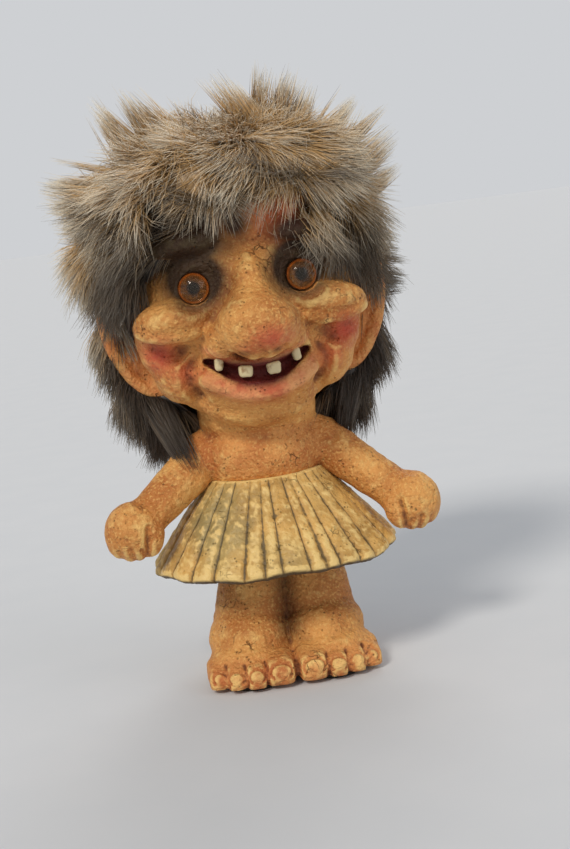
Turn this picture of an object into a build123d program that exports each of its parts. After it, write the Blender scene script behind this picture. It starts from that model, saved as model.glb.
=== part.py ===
"""Norwegian troll figure: a folk ornament cast in members, with glass eyes and a fur wig.

The figure stands on the plane Z = 0, faces -Y, and its own left hand is on the +X side.
All sizes are in millimetres.
"""

import math
import os

from build123d import *

# Glue lines and clearances
glue_gap = 0.15  # between a cast member and what is glued into or on to it
pile_gap = 0.4  # between the fur pile and the cast members it lies beside

# Felt sole and plaster ballast
felt_thickness = 1.5
felt_inset = 2.3  # how far the felt stays behind the outline of the feet
ballast_radius = 7.0  # one plug in each leg
ballast_height = 13.0
ballast_web = 5.0  # height of casting between the ballast and the spine dowel

# Legs and feet, one casting
leg_height = 42.5  # felt to hip seat
hip_radius = 10.5
hip_spread = 6.5  # centre of one leg from the middle, at the hip
ankle_radius = 12.0
ankle_spread = 9.0
ankle_height = 12.0
leg_back = 3.0  # how far the legs stand behind the middle
foot_radii = (12.5, 19.0, 8.5)
foot_spread = 12.0
foot_reach = 5.5  # centre of the foot in front of the middle
foot_rise = 3.0
instep_radii = (11.5, 15.0, 15.0)
instep_spread = 10.0
instep_reach = 2.5
instep_rise = 5.0
toe_spreads = (5.4, 12.9, 18.5, 22.8)  # big toe first
toe_reaches = (21.5, 21.0, 18.0, 13.0)
toe_radii = (4.8, 3.9, 3.5, 3.0)
toe_length = 1.3  # length of a toe over its width
toe_rise = 0.8  # height of a toe's middle over its radius

# Spine dowel and shoulder pegs, both wood
dowel_radius = 4.0
dowel_in_head = 16.0
peg_radius = 1.6
peg_depth = 7.0  # into each of the two members that it joins

# Skirt casting
pleat_count = 30
pleat_depth = 0.9
skirt_ring_height = 17.0  # hip seat to waist
waist_half_width = 17.0
waist_half_depth = 14.5
hem_half_width = 36.5
hem_half_depth = 33.0
hem_drop = 7.5  # hem below the hip seat
hem_thickness = 2.6
hem_lip = 4.0  # width of the hem's underside before it hollows
mid_fullness = 1.5  # how far the skirt swells out between waist and hem
spigot_radius = 11.0  # the torso's plug in the skirt
dish_clearance = 1.0  # round the top of the legs, under the skirt

# Torso casting
torso_height = 15.0  # waist to neck
shoulder_half_width = 19.5
shoulder_half_depth = 15.0
neck_half_width = 17.0
neck_half_depth = 15.0

# Arm castings: each hangs straight from the shoulder to a fist beside the hem
shoulder_inset = 1.5  # centre of the shoulder inside the torso's flank
shoulder_back = 1.0
shoulder_radius = 6.5
arm_clearance = 1.2  # between the underside of the shoulder and the skirt's waist
wrist_before_hand = 7.0
wrist_radius = 5.2
hand_beyond_hem = 6.0
hand_above_hem = 13.0
hand_forward = 11.5  # centre of the fist in front of the middle
hand_radius = 8.4
hand_lean = 24.0  # degrees that the fist leans out
finger_count = 4
finger_radius = 2.3
finger_length = 4.0  # between the round ends
finger_pitch = 3.4
finger_drop = 3.2
thumb_radius = 2.6
thumb_length = 4.4

# Head casting: a hollow skull, with the features placed on its front surface
skull_rise = 39.0  # skull centre above the neck seat
skull_half_width = 34.5
skull_half_depth = 33.0
skull_half_height = 37.0
skull_wall = 5.0
# Each feature: distance from the middle, height above the skull centre, depth of its
# centre behind the skull surface, and its three radii
cheek = (20.0, -5.2, 6.0, (13.0, 13.2, 8.2))
cheek_backing = (23.5, -9.5, 13.6, (10.0, 14.0, 12.5))
nose_ball = (0.0, -6.8, -4.1, (12.0, 11.5, 9.6))
nose_wing = (9.0, -9.8, -0.4, (5.4, 6.5, 5.4))
nose_bridge = (0.0, 2.0, 1.5, (5.8, 7.0, 11.0))
lower_face = (0.0, -18.0, 24.8, (28.0, 24.0, 18.0))
muzzle = (0.0, -20.5, 10.0, (20.0, 14.0, 12.0))
lower_lip = (0.0, -26.0, -2.0, (13.0, 7.0, 3.6))
chin = (0.0, -29.0, 6.0, (17.0, 11.5, 9.0))
jowl = (20.5, -18.0, 10.1, (9.5, 12.0, 11.0))
brow = (14.5, 18.0, 1.3, (12.5, 7.0, 4.2))
eye_bowl = (14.9, 6.6, -8.0, (9.6, 10.6, 9.6))  # hollowed out round the eye

# Mouth recess and teeth
mouth_half_width = 14.5
mouth_corner_rise = -15.5  # from the skull centre
mouth_top_rise = -18.2
mouth_bottom_rise = -23.8
mouth_depth = 5.0  # in from the front of the muzzle
tooth_spreads = (4.0, 11.0)  # from the middle, on each side
tooth_widths = (4.4, 2.9)
tooth_height = 3.6
tooth_set = 1.2  # how far a tooth is set into the upper edge of the mouth
tooth_length = 4.0  # front to back
tooth_proud = 0.6  # how far a tooth's front stands in front of the muzzle
tooth_round = 0.6

# Glass eyes
eye_radius = 4.6
eye_dome = 3.0  # height of the glass dome
eye_spread = 15.3
eye_rise = 5.0  # above the skull centre
eye_proud = 1.2  # how far the dome's front stands in front of the skull surface
eye_turn = 8.0  # degrees that each eye looks outward
iris_thickness = 0.7
pupil_radius = 2.8
eye_clearance = 0.2
wire_radius = 0.6
wire_length = 11.0
wire_hook = 2.0

# Ears
ear_inset = 1.0  # centre of the ear inside the skull's half width
ear_rise = -10.0
ear_back = 3.0
ear_radii = (9.5, 3.6, 20.0)
ear_lean = 17.0  # degrees that the top leans out
ear_scoop = 1.6  # depth of the hollow in its front
ear_rim = 2.2
ear_window = 24.0  # how far in front of the ear the fur is parted
ear_ease = 0.8  # how much wider than the ear's own space the parting is

# Wig: a fur pelt on a hide backing
hide_thickness = 1.2
hairline_rise = 23.0  # front edge of the hide above the skull centre
hairline_slope = 45.0  # degrees that the edge falls towards the back
# Pile forms: centre from the skull's surface along each axis (a zero stays on the
# middle), and radii
crown_lift = 13.0
crown_back = 6.0
crown_over = (10.0, 8.0, 5.0)  # how much larger than the skull the crown's pile is
left_pile = ((-1.5, 13.0, -7.0), (12.0, 17.0, 30.0))
right_pile = ((-1.0, 13.0, -8.0), (12.5, 17.0, 31.0))
back_pile = ((0.0, -11.0, -10.0), (38.0, 19.0, 41.0))
fringe_pile = ((-2.0, 16.0, -5.0), (42.0, 23.0, 15.0))
fringe_roll = -6.0  # degrees: the fringe falls lower on the figure's right
# Tufts on the crown's pile: bearing from the left side towards the back, height angle,
# how far the tip stands out of the pile, and radius
tufts = (
    (184.0, 22.0, 7.0, 13.0),
    (188.0, 52.0, 8.0, 13.0),
    (160.0, 84.0, 8.0, 13.0),
    (8.0, 66.0, 8.0, 13.0),
    (356.0, 36.0, 7.0, 13.0),
)
tuft_length = 34.0
# The pelt is cut into five pieces
fringe_seam = 15.0  # in front of the skull centre
crown_seam = 10.0  # above the skull centre
side_seam = 23.0  # from the middle
# Opening for the face, from the skull centre
face_margin = 2.5  # opening beyond the skull's half width
face_side_rise = 8.0
face_top_rise = 22.0
face_back = 9.0  # in front of the skull centre
nape_back = 17.0  # the pile hangs behind this plane, below the head

# Levels and places that follow from the sizes above
shoulder_rise = shoulder_radius + arm_clearance
hip_z = felt_thickness + leg_height
waist_z = hip_z + skirt_ring_height
neck_z = waist_z + torso_height
skull_z = neck_z + skull_rise
hem_z = hip_z - hem_drop
ballast_top = felt_thickness + ballast_height
dowel_bottom = ballast_top + ballast_web
dowel_top = neck_z + dowel_in_head
skull_radii = (skull_half_width, skull_half_depth, skull_half_height)
far = 200.0  # past every piece
sides = {"left": 1, "right": -1}


# Helpers


def ellipsoid(centre, radii, turn=(0, 0, 0)):
    return Pos(*centre) * Rotation(*turn) * scale(Sphere(1), by=radii)


def grown(radii, margin):
    return tuple(r + margin for r in radii)


def oval(half_width, half_depth, z):
    return Pos(0, 0, z) * Ellipse(half_width, half_depth)


def skull_front(x, rise):
    """How far in front of the middle the skull's surface lies at that place."""
    left = 1 - (x / skull_half_width) ** 2 - (rise / skull_half_height) ** 2
    return -skull_half_depth * math.sqrt(max(left, 0.05))


def feature(form, side=1, margin=0.0):
    x, rise, sink, radii = form
    centre = (side * x, skull_front(x, rise) + sink, skull_z + rise)
    return ellipsoid(centre, grown(radii, margin))


def half_space(corner, direction):
    """Everything on the far side of a plane, as a large box."""
    return Plane(corner, z_dir=direction) * Box(
        2 * far, 2 * far, far, align=(Align.CENTER, Align.CENTER, Align.MIN)
    )


def rod(start, end, radius):
    start, end = Vector(start), Vector(end)
    return Solid.make_cylinder(radius, (end - start).length, Plane(start, z_dir=end - start))


def spine(radius):
    return rod((0, 0, dowel_bottom), (0, 0, dowel_top), radius)


# Feet and legs


def sole_outline(inset):
    """The outline of both feet and heels on the ground."""
    outline = Sketch()
    for side in sides.values():
        foot = Ellipse(foot_radii[0] - inset, foot_radii[1] - inset)
        outline += Pos(side * foot_spread, -foot_reach) * foot
        outline += Pos(side * ankle_spread, leg_back) * Circle(ankle_radius - inset)
    return outline


def felt_sole():
    return extrude(sole_outline(felt_inset), felt_thickness)


def ballast(side, margin=0.0):
    bottom = (side * ankle_spread, leg_back, felt_thickness)
    top = (side * ankle_spread, leg_back, ballast_top + margin)
    return rod(bottom, top, ballast_radius + margin)


def leg(side, margin=0.0):
    """One leg above the ankle, as a cone."""
    hip = Pos(side * hip_spread, leg_back, hip_z) * Circle(hip_radius + margin)
    ankle_z = felt_thickness + ankle_height
    ankle = Pos(side * ankle_spread, leg_back, ankle_z) * Circle(ankle_radius + margin)
    return loft([ankle, hip])


def legs():
    pieces = []
    for side in sides.values():
        heel = (side * ankle_spread, leg_back)
        heel_top = felt_thickness + ankle_height
        pieces += [leg(side), rod((*heel, felt_thickness), (*heel, heel_top), ankle_radius)]
        foot = (side * foot_spread, -foot_reach, felt_thickness + foot_rise)
        pieces.append(ellipsoid(foot, foot_radii))
        instep = (side * instep_spread, -instep_reach, felt_thickness + instep_rise)
        pieces.append(ellipsoid(instep, instep_radii))
        for spread, reach, radius in zip(toe_spreads, toe_reaches, toe_radii):
            toe = (side * spread, -reach, felt_thickness + toe_rise * radius)
            pieces.append(ellipsoid(toe, (radius, toe_length * radius, radius)))
    casting = pieces[0].fuse(*pieces[1:])
    casting -= half_space((0, 0, felt_thickness), (0, 0, -1))
    casting -= spine(dowel_radius + glue_gap)
    for side in sides.values():
        casting -= ballast(side, glue_gap)
    return casting


# Skirt and torso


def pleated_ring(half_width, half_depth, depth, z):
    """A closed ring of ridges and grooves, as a flat face."""
    points = []
    for step in range(2 * pleat_count):
        angle = math.pi * step / pleat_count
        out = depth if step % 2 == 0 else -depth
        x = (half_width + out) * math.cos(angle)
        y = (half_depth + out) * math.sin(angle)
        points.append((x, y, z))
    return make_face(Polyline(*points, close=True))


def skirt():
    waist = pleated_ring(
        waist_half_width - pleat_depth / 2,
        waist_half_depth - pleat_depth / 2,
        pleat_depth / 2,
        waist_z,
    )
    middle = pleated_ring(
        (waist_half_width + hem_half_width) / 2 + mid_fullness,
        (waist_half_depth + hem_half_depth) / 2 + mid_fullness,
        pleat_depth,
        (waist_z + hem_z) / 2,
    )
    hem = pleated_ring(hem_half_width, hem_half_depth, pleat_depth, hem_z)
    edge_z = hem_z - hem_thickness
    edge = pleated_ring(hem_half_width, hem_half_depth, pleat_depth, edge_z)
    bell = loft([edge, hem, middle, waist], ruled=True)
    dish = loft(
        [
            oval(hem_half_width - hem_lip, hem_half_depth - hem_lip, edge_z),
            oval(hip_spread + hip_radius, hip_radius, hip_z),
        ]
    )
    bore = rod((0, 0, edge_z), (0, 0, waist_z), spigot_radius + glue_gap)
    bell = bell - dish - bore
    for side in sides.values():
        bell -= leg(side, dish_clearance)
    return bell


def torso():
    plug = rod((0, 0, hip_z), (0, 0, waist_z), spigot_radius)
    chest = loft(
        [
            oval(waist_half_width, waist_half_depth, waist_z),
            oval(shoulder_half_width, shoulder_half_depth, waist_z + shoulder_rise),
            oval(neck_half_width, neck_half_depth, neck_z),
        ]
    )
    return plug + chest - spine(dowel_radius + glue_gap)


# Arms


def arm_places(side):
    out = shoulder_half_width - shoulder_inset
    shoulder = Vector(side * out, shoulder_back, waist_z + shoulder_rise)
    beside_hem = side * (hem_half_width + hand_beyond_hem)
    hand = Vector(beside_hem, -hand_forward, hem_z + hand_above_hem)
    return shoulder, hand


def arm_peg(side, margin=0.0):
    """The peg runs level, from the torso into the shoulder of the arm."""
    shoulder = arm_places(side)[0]
    seat = shoulder_half_width + glue_gap
    inner = Vector(side * (seat - peg_depth), shoulder.Y, shoulder.Z)
    outer = Vector(side * (seat + peg_depth), shoulder.Y, shoulder.Z)
    return rod(inner, outer, peg_radius + margin)


def limb(length):
    """An arm along +Z: round at the shoulder, tapered to the wrist, and on to the hand."""
    low = (0, -shoulder_radius)
    side = (shoulder_radius, 0)
    quarter = shoulder_radius * math.sqrt(0.5)
    wrist = length - wrist_before_hand
    taper = Polyline(side, (wrist_radius, wrist), (wrist_radius, length), (0, length), low)
    profile = make_face(taper + ThreePointArc(low, (quarter, -quarter), side))
    return revolve(Plane.XZ * profile, Axis.Z)


def capsule(middle, length, radius):
    """A rod along Z with round ends."""
    top, bottom = (Vector(middle) + Vector(0, 0, end * length / 2) for end in (1, -1))
    return rod(bottom, top, radius).fuse(*(Pos(end) * Sphere(radius) for end in (top, bottom)))


def arm(side, body):
    """The shoulder end is cut to the torso that it is glued to."""
    shoulder, hand = arm_places(side)
    fist = Plane(hand) * Rotation(0, -side * hand_lean, 0)
    pieces = [
        Plane(shoulder, z_dir=hand - shoulder) * limb((hand - shoulder).length),
        fist * Sphere(hand_radius),
    ]
    first = -finger_pitch * (finger_count - 1) / 2
    for number in range(finger_count):
        across = first + number * finger_pitch
        finger = (across, -hand_radius + finger_radius, -finger_drop)
        pieces.append(fist * capsule(finger, finger_length, finger_radius))
    thumb = (-side * (hand_radius - thumb_radius / 2), -hand_radius / 2, 0)
    pieces.append(fist * capsule(thumb, thumb_length, thumb_radius))
    return pieces[0].fuse(*pieces[1:]) - body - arm_peg(side, glue_gap)


# Head


def eye_frame(side):
    """The eye's own frame: its flat back at the origin, looking along +Z."""
    front = skull_front(eye_spread, eye_rise) - eye_proud + eye_dome
    place = Vector(side * eye_spread, front, skull_z + eye_rise)
    look = math.radians(eye_turn)
    return Plane(place, z_dir=(side * math.sin(look), -math.cos(look), 0))


def mouth():
    """A crescent recess, cut to a flat back."""
    left = (-mouth_half_width, 0, skull_z + mouth_corner_rise)
    right = (mouth_half_width, 0, skull_z + mouth_corner_rise)
    top = ThreePointArc(left, (0, 0, skull_z + mouth_top_rise), right)
    bottom = ThreePointArc(left, (0, 0, skull_z + mouth_bottom_rise), right)
    shape = make_face(top + bottom)
    return Pos(0, mouth_back(), 0) * extrude(shape, far, dir=(0, -1, 0))


def muzzle_front(x, rise):
    """How far in front of the middle the muzzle's surface lies at that place."""
    middle, level, sink, radii = muzzle
    left = 1 - ((x - middle) / radii[0]) ** 2 - ((rise - level) / radii[2]) ** 2
    return skull_front(middle, level) + sink - radii[1] * math.sqrt(max(left, 0.05))


def mouth_back():
    return muzzle_front(muzzle[0], muzzle[1]) + mouth_depth


def mouth_top(x):
    """Height of the mouth's upper edge above the skull centre, at x."""
    sag = mouth_corner_rise - mouth_top_rise
    arc_radius = (mouth_half_width**2 + sag**2) / (2 * sag)
    return mouth_top_rise + arc_radius - math.sqrt(arc_radius**2 - x**2)


def tooth_blocks(margin=0.0):
    """One block for each tooth, hanging from the mouth's upper edge."""
    blocks = []
    for side in sides.values():
        for spread, width in zip(tooth_spreads, tooth_widths):
            edge = mouth_top(spread)
            middle = muzzle_front(spread, edge) - tooth_proud + tooth_length / 2
            place = (side * spread, middle, skull_z + edge + tooth_set - tooth_height / 2)
            block = Box(width + 2 * margin, tooth_length, tooth_height + 2 * margin)
            blocks.append(Pos(*place) * block)
    return blocks


def teeth():
    return [fillet(block.edges(), tooth_round) for block in tooth_blocks()]


def head():
    pieces = [ellipsoid((0, 0, skull_z), skull_radii)]
    pieces += [feature(f) for f in (nose_ball, nose_bridge, lower_face, muzzle, lower_lip, chin)]
    for side in sides.values():
        pieces += [feature(f, side) for f in (cheek, cheek_backing, nose_wing, jowl, brow)]
    neck = extrude(oval(neck_half_width, neck_half_depth, neck_z), skull_rise)
    casting = neck.fuse(*pieces) - half_space((0, 0, neck_z), (0, 0, -1))
    casting -= ellipsoid((0, 0, skull_z), grown(skull_radii, -skull_wall))
    casting -= mouth()
    for socket in tooth_blocks(glue_gap):
        casting -= socket
    for side in sides.values():
        casting -= feature(eye_bowl, side)
        eye = eye_frame(side)
        seat = Cylinder(
            eye_radius + eye_clearance,
            far,
            align=(Align.CENTER, Align.CENTER, Align.MIN),
        )
        casting -= eye * Pos(0, 0, iris_back() - glue_gap) * seat
        casting -= eye * Pos(0, 0, -wire_length) * Cylinder(wire_hook, 2 * wire_length)
    return casting - spine(dowel_radius + glue_gap)


def ear_place(side):
    return (side * (skull_half_width - ear_inset), ear_back, skull_z + ear_rise)


def ear(side):
    centre = ear_place(side)
    turn = (0, side * ear_lean, 0)
    leaf = ellipsoid(centre, ear_radii, turn)
    hollow = (centre[0], centre[1] - ear_radii[1], centre[2])
    scoop_radii = (ear_radii[0] - ear_rim, 2 * ear_scoop, ear_radii[2] - 2 * ear_rim)
    leaf -= ellipsoid(hollow, scoop_radii, turn)
    return leaf - ellipsoid((0, 0, skull_z), grown(skull_radii, glue_gap))


# Glass eyes


def glass_dome():
    """A spherical cap on a flat back."""
    sphere_radius = (eye_radius**2 + eye_dome**2) / (2 * eye_dome)
    ball = Pos(0, 0, eye_dome - sphere_radius) * Sphere(sphere_radius)
    return ball - half_space((0, 0, 0), (0, 0, -1))


def iris_back():
    """Level of the iris's back in the eye's frame: it is glued behind the flat of the glass."""
    return -glue_gap - iris_thickness


def eye_pieces(side):
    frame = eye_frame(side)
    back = iris_back()
    disc = Pos(0, 0, back + iris_thickness / 2) * Cylinder(eye_radius, iris_thickness)
    dot = Pos(0, 0, back + iris_thickness / 2) * Cylinder(pupil_radius, iris_thickness)
    stem = rod((0, 0, back), (0, 0, back - wire_length), wire_radius)
    turned = rod((0, 0, back - wire_length), (wire_hook, 0, back - wire_length), wire_radius)
    knee = Pos(0, 0, back - wire_length) * Sphere(wire_radius)
    return {
        "eye_glass": frame * glass_dome(),
        "eye_iris": frame * (disc - dot),
        "eye_pupil": frame * dot,
        "eye_wire": frame * stem.fuse(knee, turned),
    }


# Wig


def ear_envelope(side):
    turn = (0, side * ear_lean, 0)
    return ellipsoid(ear_place(side), grown(ear_radii, pile_gap), turn)


def ear_parting(side):
    """The space round an ear and in front of it, where the fur is parted."""
    width, depth, height = grown(ear_radii, pile_gap + ear_ease)
    turn = (0, side * ear_lean, 0)
    space = ellipsoid(ear_place(side), (width, depth + ear_window, height), turn)
    return space - half_space((0, ear_back, 0), (0, 1, 0)) + ear_envelope(side)


def hide_cap():
    """The pelt's hide, on the top and back of the skull."""
    outer = grown(skull_radii, glue_gap + hide_thickness)
    cap = ellipsoid((0, 0, skull_z), outer)
    cap -= ellipsoid((0, 0, skull_z), grown(skull_radii, glue_gap))
    slope = math.radians(hairline_slope)
    edge = (0, -skull_half_depth, skull_z + hairline_rise)
    cap -= half_space(edge, (0, -math.sin(slope), -math.cos(slope)))
    for side in sides.values():
        cap -= feature(brow, side, glue_gap)
        cap -= ear_envelope(side)
    return cap


def lock(form, side, roll=0.0):
    """One mass of fur, placed from the skull's surface on the side that is named."""
    offset, radii = form
    x, y, z = (step * r for step, r in zip(side, skull_radii))
    out = side[0] if side[0] else 1
    centre = (x + out * offset[0], y + offset[1], skull_z + z + offset[2])
    return ellipsoid(centre, radii, (0, roll, 0))


def tuft(crown_radii, bearing, rise, proud, radius):
    """A leaf of fur that stands out of the crown's pile."""
    across = math.cos(math.radians(rise))
    direction = Vector(
        across * math.cos(math.radians(bearing)),
        across * math.sin(math.radians(bearing)),
        math.sin(math.radians(rise)),
    )
    stretch = sum((d / r) ** 2 for d, r in zip(tuple(direction), crown_radii)) ** -0.5
    middle = direction * (stretch + proud - tuft_length / 2)
    place = Plane((middle.X, crown_back + middle.Y, skull_z + crown_lift + middle.Z), z_dir=direction)
    return place.location * scale(Sphere(1), by=(radius, radius, tuft_length / 2))


def pelt_pile():
    """The fur round the skull in one piece, before the pelt is cut."""
    crown_radii = tuple(r + over for r, over in zip(skull_radii, crown_over))
    forms = [
        ellipsoid((0, crown_back, skull_z + crown_lift), crown_radii),
        lock(left_pile, (1, 0, 0)),
        lock(right_pile, (-1, 0, 0)),
        lock(back_pile, (0, 1, 0)),
        lock(fringe_pile, (0, -1, 1), fringe_roll),
    ]
    forms += [tuft(crown_radii, *place) for place in tufts]
    pile = forms[0].fuse(*forms[1:])
    margin = glue_gap + hide_thickness + glue_gap
    pile -= face_opening()
    pile -= ellipsoid((0, 0, skull_z), grown(skull_radii, margin))
    under_head = half_space((0, 0, neck_z + pile_gap), (0, 0, -1))
    pile -= under_head & half_space((0, nape_back, 0), (0, -1, 0))
    pile -= extrude(
        oval(neck_half_width + pile_gap, neck_half_depth + pile_gap, neck_z), skull_rise
    )
    return pile


def face_opening():
    """The window that the face looks out of, cut back to the ears."""
    bottom = skull_z - far
    side_z = skull_z + face_side_rise
    top_z = skull_z + face_top_rise
    reach = skull_half_width + face_margin
    outline = Polyline(
        (-reach, 0, side_z), (-reach, 0, bottom), (reach, 0, bottom), (reach, 0, side_z)
    )
    arch = ThreePointArc((reach, 0, side_z), (0, 0, top_z), (-reach, 0, side_z))
    shape = make_face(outline + arch)
    return Pos(0, -face_back, 0) * extrude(shape, far, dir=(0, -1, 0))


def pelt_pieces():
    """The pile, cut along the seams into the pieces that the wig is sewn from."""
    pile = pelt_pile()
    front = half_space((0, -fringe_seam, 0), (0, -1, 0))
    behind = half_space((0, -fringe_seam, 0), (0, 1, 0))
    above = half_space((0, 0, skull_z + crown_seam), (0, 0, 1))
    below = half_space((0, 0, skull_z + crown_seam), (0, 0, -1))
    on_left = half_space((side_seam, 0, 0), (1, 0, 0))
    on_right = half_space((-side_seam, 0, 0), (-1, 0, 0))
    lower = pile - front - above
    pieces = {
        "fringe_fur": pile - behind,
        "crown_fur": pile - front - below,
        "left_side_fur": lower & on_left,
        "right_side_fur": lower & on_right,
        "back_fur": lower - on_left - on_right,
    }
    for side in sides.values():
        parting = ear_parting(side)
        brow_space = feature(brow, side, pile_gap)
        for name in ("crown_fur", "left_side_fur", "right_side_fur", "back_fur"):
            pieces[name] -= parting
        for name in ("fringe_fur", "crown_fur"):
            pieces[name] -= brow_space
    return pieces


# Assembly


def build():
    body = torso()
    nodes = {
        "felt_sole": felt_sole(),
        "leg_casting": legs(),
        "ballast_plugs": Compound(children=[ballast(side) for side in sides.values()]),
        "spine_dowel": spine(dowel_radius),
        "skirt": skirt(),
        "head": head(),
        "teeth": Compound(children=teeth()),
        "wig_hide": hide_cap(),
    }
    chest = body
    for side in sides.values():
        chest = chest - arm_peg(side, glue_gap)
    nodes["torso"] = chest
    nodes["arm_pegs"] = Compound(children=[arm_peg(side) for side in sides.values()])
    nodes["right_arm"] = arm(sides["right"], body)
    nodes["right_ear"] = ear(sides["right"])
    for piece in ("arm", "ear"):
        nodes[f"left_{piece}"] = mirror(nodes[f"right_{piece}"], about=Plane.YZ)
    for name, side in sides.items():
        for piece, solid in eye_pieces(side).items():
            nodes[f"{name}_{piece}"] = solid
    nodes.update(pelt_pieces())
    return nodes


os.makedirs("parts", exist_ok=True)
for node_name, node in build().items():
    export_step(node, f"parts/{node_name}.step")
    print(f"{node_name}: {len(node.solids())} solid, {node.volume:.0f} mm3")
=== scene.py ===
# %% [markdown]
# # A troll ornament with a fur wig
# The figure is a shelf ornament about 18 cm tall: painted castings for the head, body, arms,
# skirt and legs, glass eyes, and a wig cut from long-haired pelt. The CAD model gives every
# piece its place and size. This lesson gives each piece that shows its sculpted surface,
# its paint and its fur.

import math

import bmesh
import bpy
import numpy as np
from mathutils import Euler, Matrix, Vector
from mathutils.kdtree import KDTree


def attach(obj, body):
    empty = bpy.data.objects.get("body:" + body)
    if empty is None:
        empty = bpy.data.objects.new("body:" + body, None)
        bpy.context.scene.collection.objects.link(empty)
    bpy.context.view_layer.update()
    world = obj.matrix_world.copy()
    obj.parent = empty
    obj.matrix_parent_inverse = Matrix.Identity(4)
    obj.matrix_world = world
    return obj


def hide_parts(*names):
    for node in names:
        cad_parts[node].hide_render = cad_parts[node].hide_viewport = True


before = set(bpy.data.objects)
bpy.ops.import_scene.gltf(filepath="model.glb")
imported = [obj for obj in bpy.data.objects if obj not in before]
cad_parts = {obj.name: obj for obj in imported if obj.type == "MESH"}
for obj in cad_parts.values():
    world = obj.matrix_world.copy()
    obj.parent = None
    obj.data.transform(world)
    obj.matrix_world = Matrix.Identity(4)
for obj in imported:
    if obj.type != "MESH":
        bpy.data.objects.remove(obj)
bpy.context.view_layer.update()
MM = 0.001

# %% [markdown]
# ## Clay in code
# Hand-made castings have no sharp construction lines: every form melts into the next. They
# could be modelled face by face, but it is quicker to do what a modeller in clay does: press
# ellipsoid lumps together, melt them into one skin with a voxel remesh, smooth that skin, and
# then draw folds and grooves into it with a tool. These helpers are the hands.

# %% Helpers: lumps
def add_lump(bm, centre, radii, turn=(0, 0, 0)):
    """One ellipsoid of clay, in millimetres and degrees."""
    move = Matrix.Translation(Vector(centre) * MM)
    spin = Euler([math.radians(a) for a in turn]).to_matrix().to_4x4()
    size = Matrix.Diagonal((*(r * MM for r in radii), 1.0))
    detail = 4 if max(radii) > 6.0 else 3
    bmesh.ops.create_icosphere(bm, subdivisions=detail, radius=1.0, matrix=move @ spin @ size)


def add_pair(bm, centre, radii, turn=(0, 0, 0)):
    """The same lump on the figure's left and, mirrored, on its right."""
    x, y, z = centre
    add_lump(bm, (x, y, z), radii, turn)
    add_lump(bm, (-x, y, z), radii, (turn[0], -turn[1], -turn[2]))


def add_limb(bm, start, end, start_radius, end_radius, steps=7):
    """A row of lumps from one point to another."""
    for step in range(steps + 1):
        share = step / steps
        radius = start_radius + (end_radius - start_radius) * share
        centre = Vector(start).lerp(Vector(end), share)
        add_lump(bm, centre, (radius, radius, radius))


# %% [markdown]
# Modifiers could stay live on their piece, but the strokes that come later need the finished
# skin, so each one is applied at once. The voxel of the melt decides how fine a fold can be. The
# boolean uses the solver for closed shapes, because lumps and skins are always closed here.

# %% Helpers: melting and hollowing
def to_piece(bm, name):
    """Turns a bmesh into an object of the scene."""
    mesh = bpy.data.meshes.new(name)
    bm.to_mesh(mesh)
    bm.free()
    piece = bpy.data.objects.new(name, mesh)
    bpy.context.scene.collection.objects.link(piece)
    return piece


def apply_modifiers(piece):
    """Puts what the modifiers made in the place of the piece's mesh."""
    graph = bpy.context.evaluated_depsgraph_get()
    done = bpy.data.meshes.new_from_object(piece.evaluated_get(graph))
    piece.modifiers.clear()
    piece.data = done


def settle(piece, passes):
    """Softens the skin, that many times over."""
    smooth = piece.modifiers.new("Settle", "SMOOTH")
    smooth.factor = 0.5
    smooth.iterations = passes
    apply_modifiers(piece)


def melt(piece, voxel, passes):
    """One closed skin over all the lumps, softened."""
    remesh = piece.modifiers.new("Melt", "REMESH")
    remesh.mode = "VOXEL"
    remesh.voxel_size = voxel * MM
    settle(piece, passes)


def hollow(piece, cutter):
    """Takes one piece's shape out of another."""
    cut = piece.modifiers.new("Hollow", "BOOLEAN")
    cut.operation = "DIFFERENCE"
    cut.solver = "MANIFOLD"
    cut.object = cutter
    apply_modifiers(piece)
    bpy.data.objects.remove(cutter)


def roughen(piece, size, depth):
    """The uneven skin of a hand-finished casting, as a displacement."""
    grain = bpy.data.textures.new("hand_work", "CLOUDS")
    grain.noise_scale = size * MM
    push = piece.modifiers.new("Hand work", "DISPLACE")
    push.texture = grain
    push.texture_coords = "LOCAL"
    push.strength = depth * MM
    push.mid_level = 0.5
    apply_modifiers(piece)


def keep_side(source, name, cuts):
    """A copy of a piece, cut by planes (point, direction kept) and closed again."""
    bm = bmesh.new()
    bm.from_mesh(source.data)
    for point, direction in cuts:
        everything = bm.verts[:] + bm.edges[:] + bm.faces[:]
        bmesh.ops.bisect_plane(
            bm,
            geom=everything,
            plane_co=Vector(point) * MM,
            plane_no=-Vector(direction),
            clear_outer=True,
        )
        rim = [edge for edge in bm.edges if edge.is_boundary]
        bmesh.ops.holes_fill(bm, edges=rim)
        for edge in rim:
            edge.smooth = False
    bmesh.ops.recalc_face_normals(bm, faces=bm.faces)
    return to_piece(bm, name)


# %% [markdown]
# A tool that is drawn over clay moves each point of the skin by how near the tool's line it lies.
# Sculpt brushes do that by hand. In code, the points are read into an array, moved along their
# normals and written back, so one stroke is one line of numbers.

# %% Helpers: the points of a skin
def points_of(piece):
    """The points of a piece, in millimetres."""
    co = np.empty(len(piece.data.vertices) * 3)
    piece.data.vertices.foreach_get("co", co)
    return co.reshape(-1, 3) / MM


def normals_of(piece):
    """The direction in which the skin looks at each point."""
    normal = np.empty(len(piece.data.vertices) * 3)
    piece.data.vertices.foreach_get("normal", normal)
    return normal.reshape(-1, 3)


def put_points(piece, co):
    """Writes the points back."""
    piece.data.vertices.foreach_set("co", (co * MM).ravel())
    piece.data.update()


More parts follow.
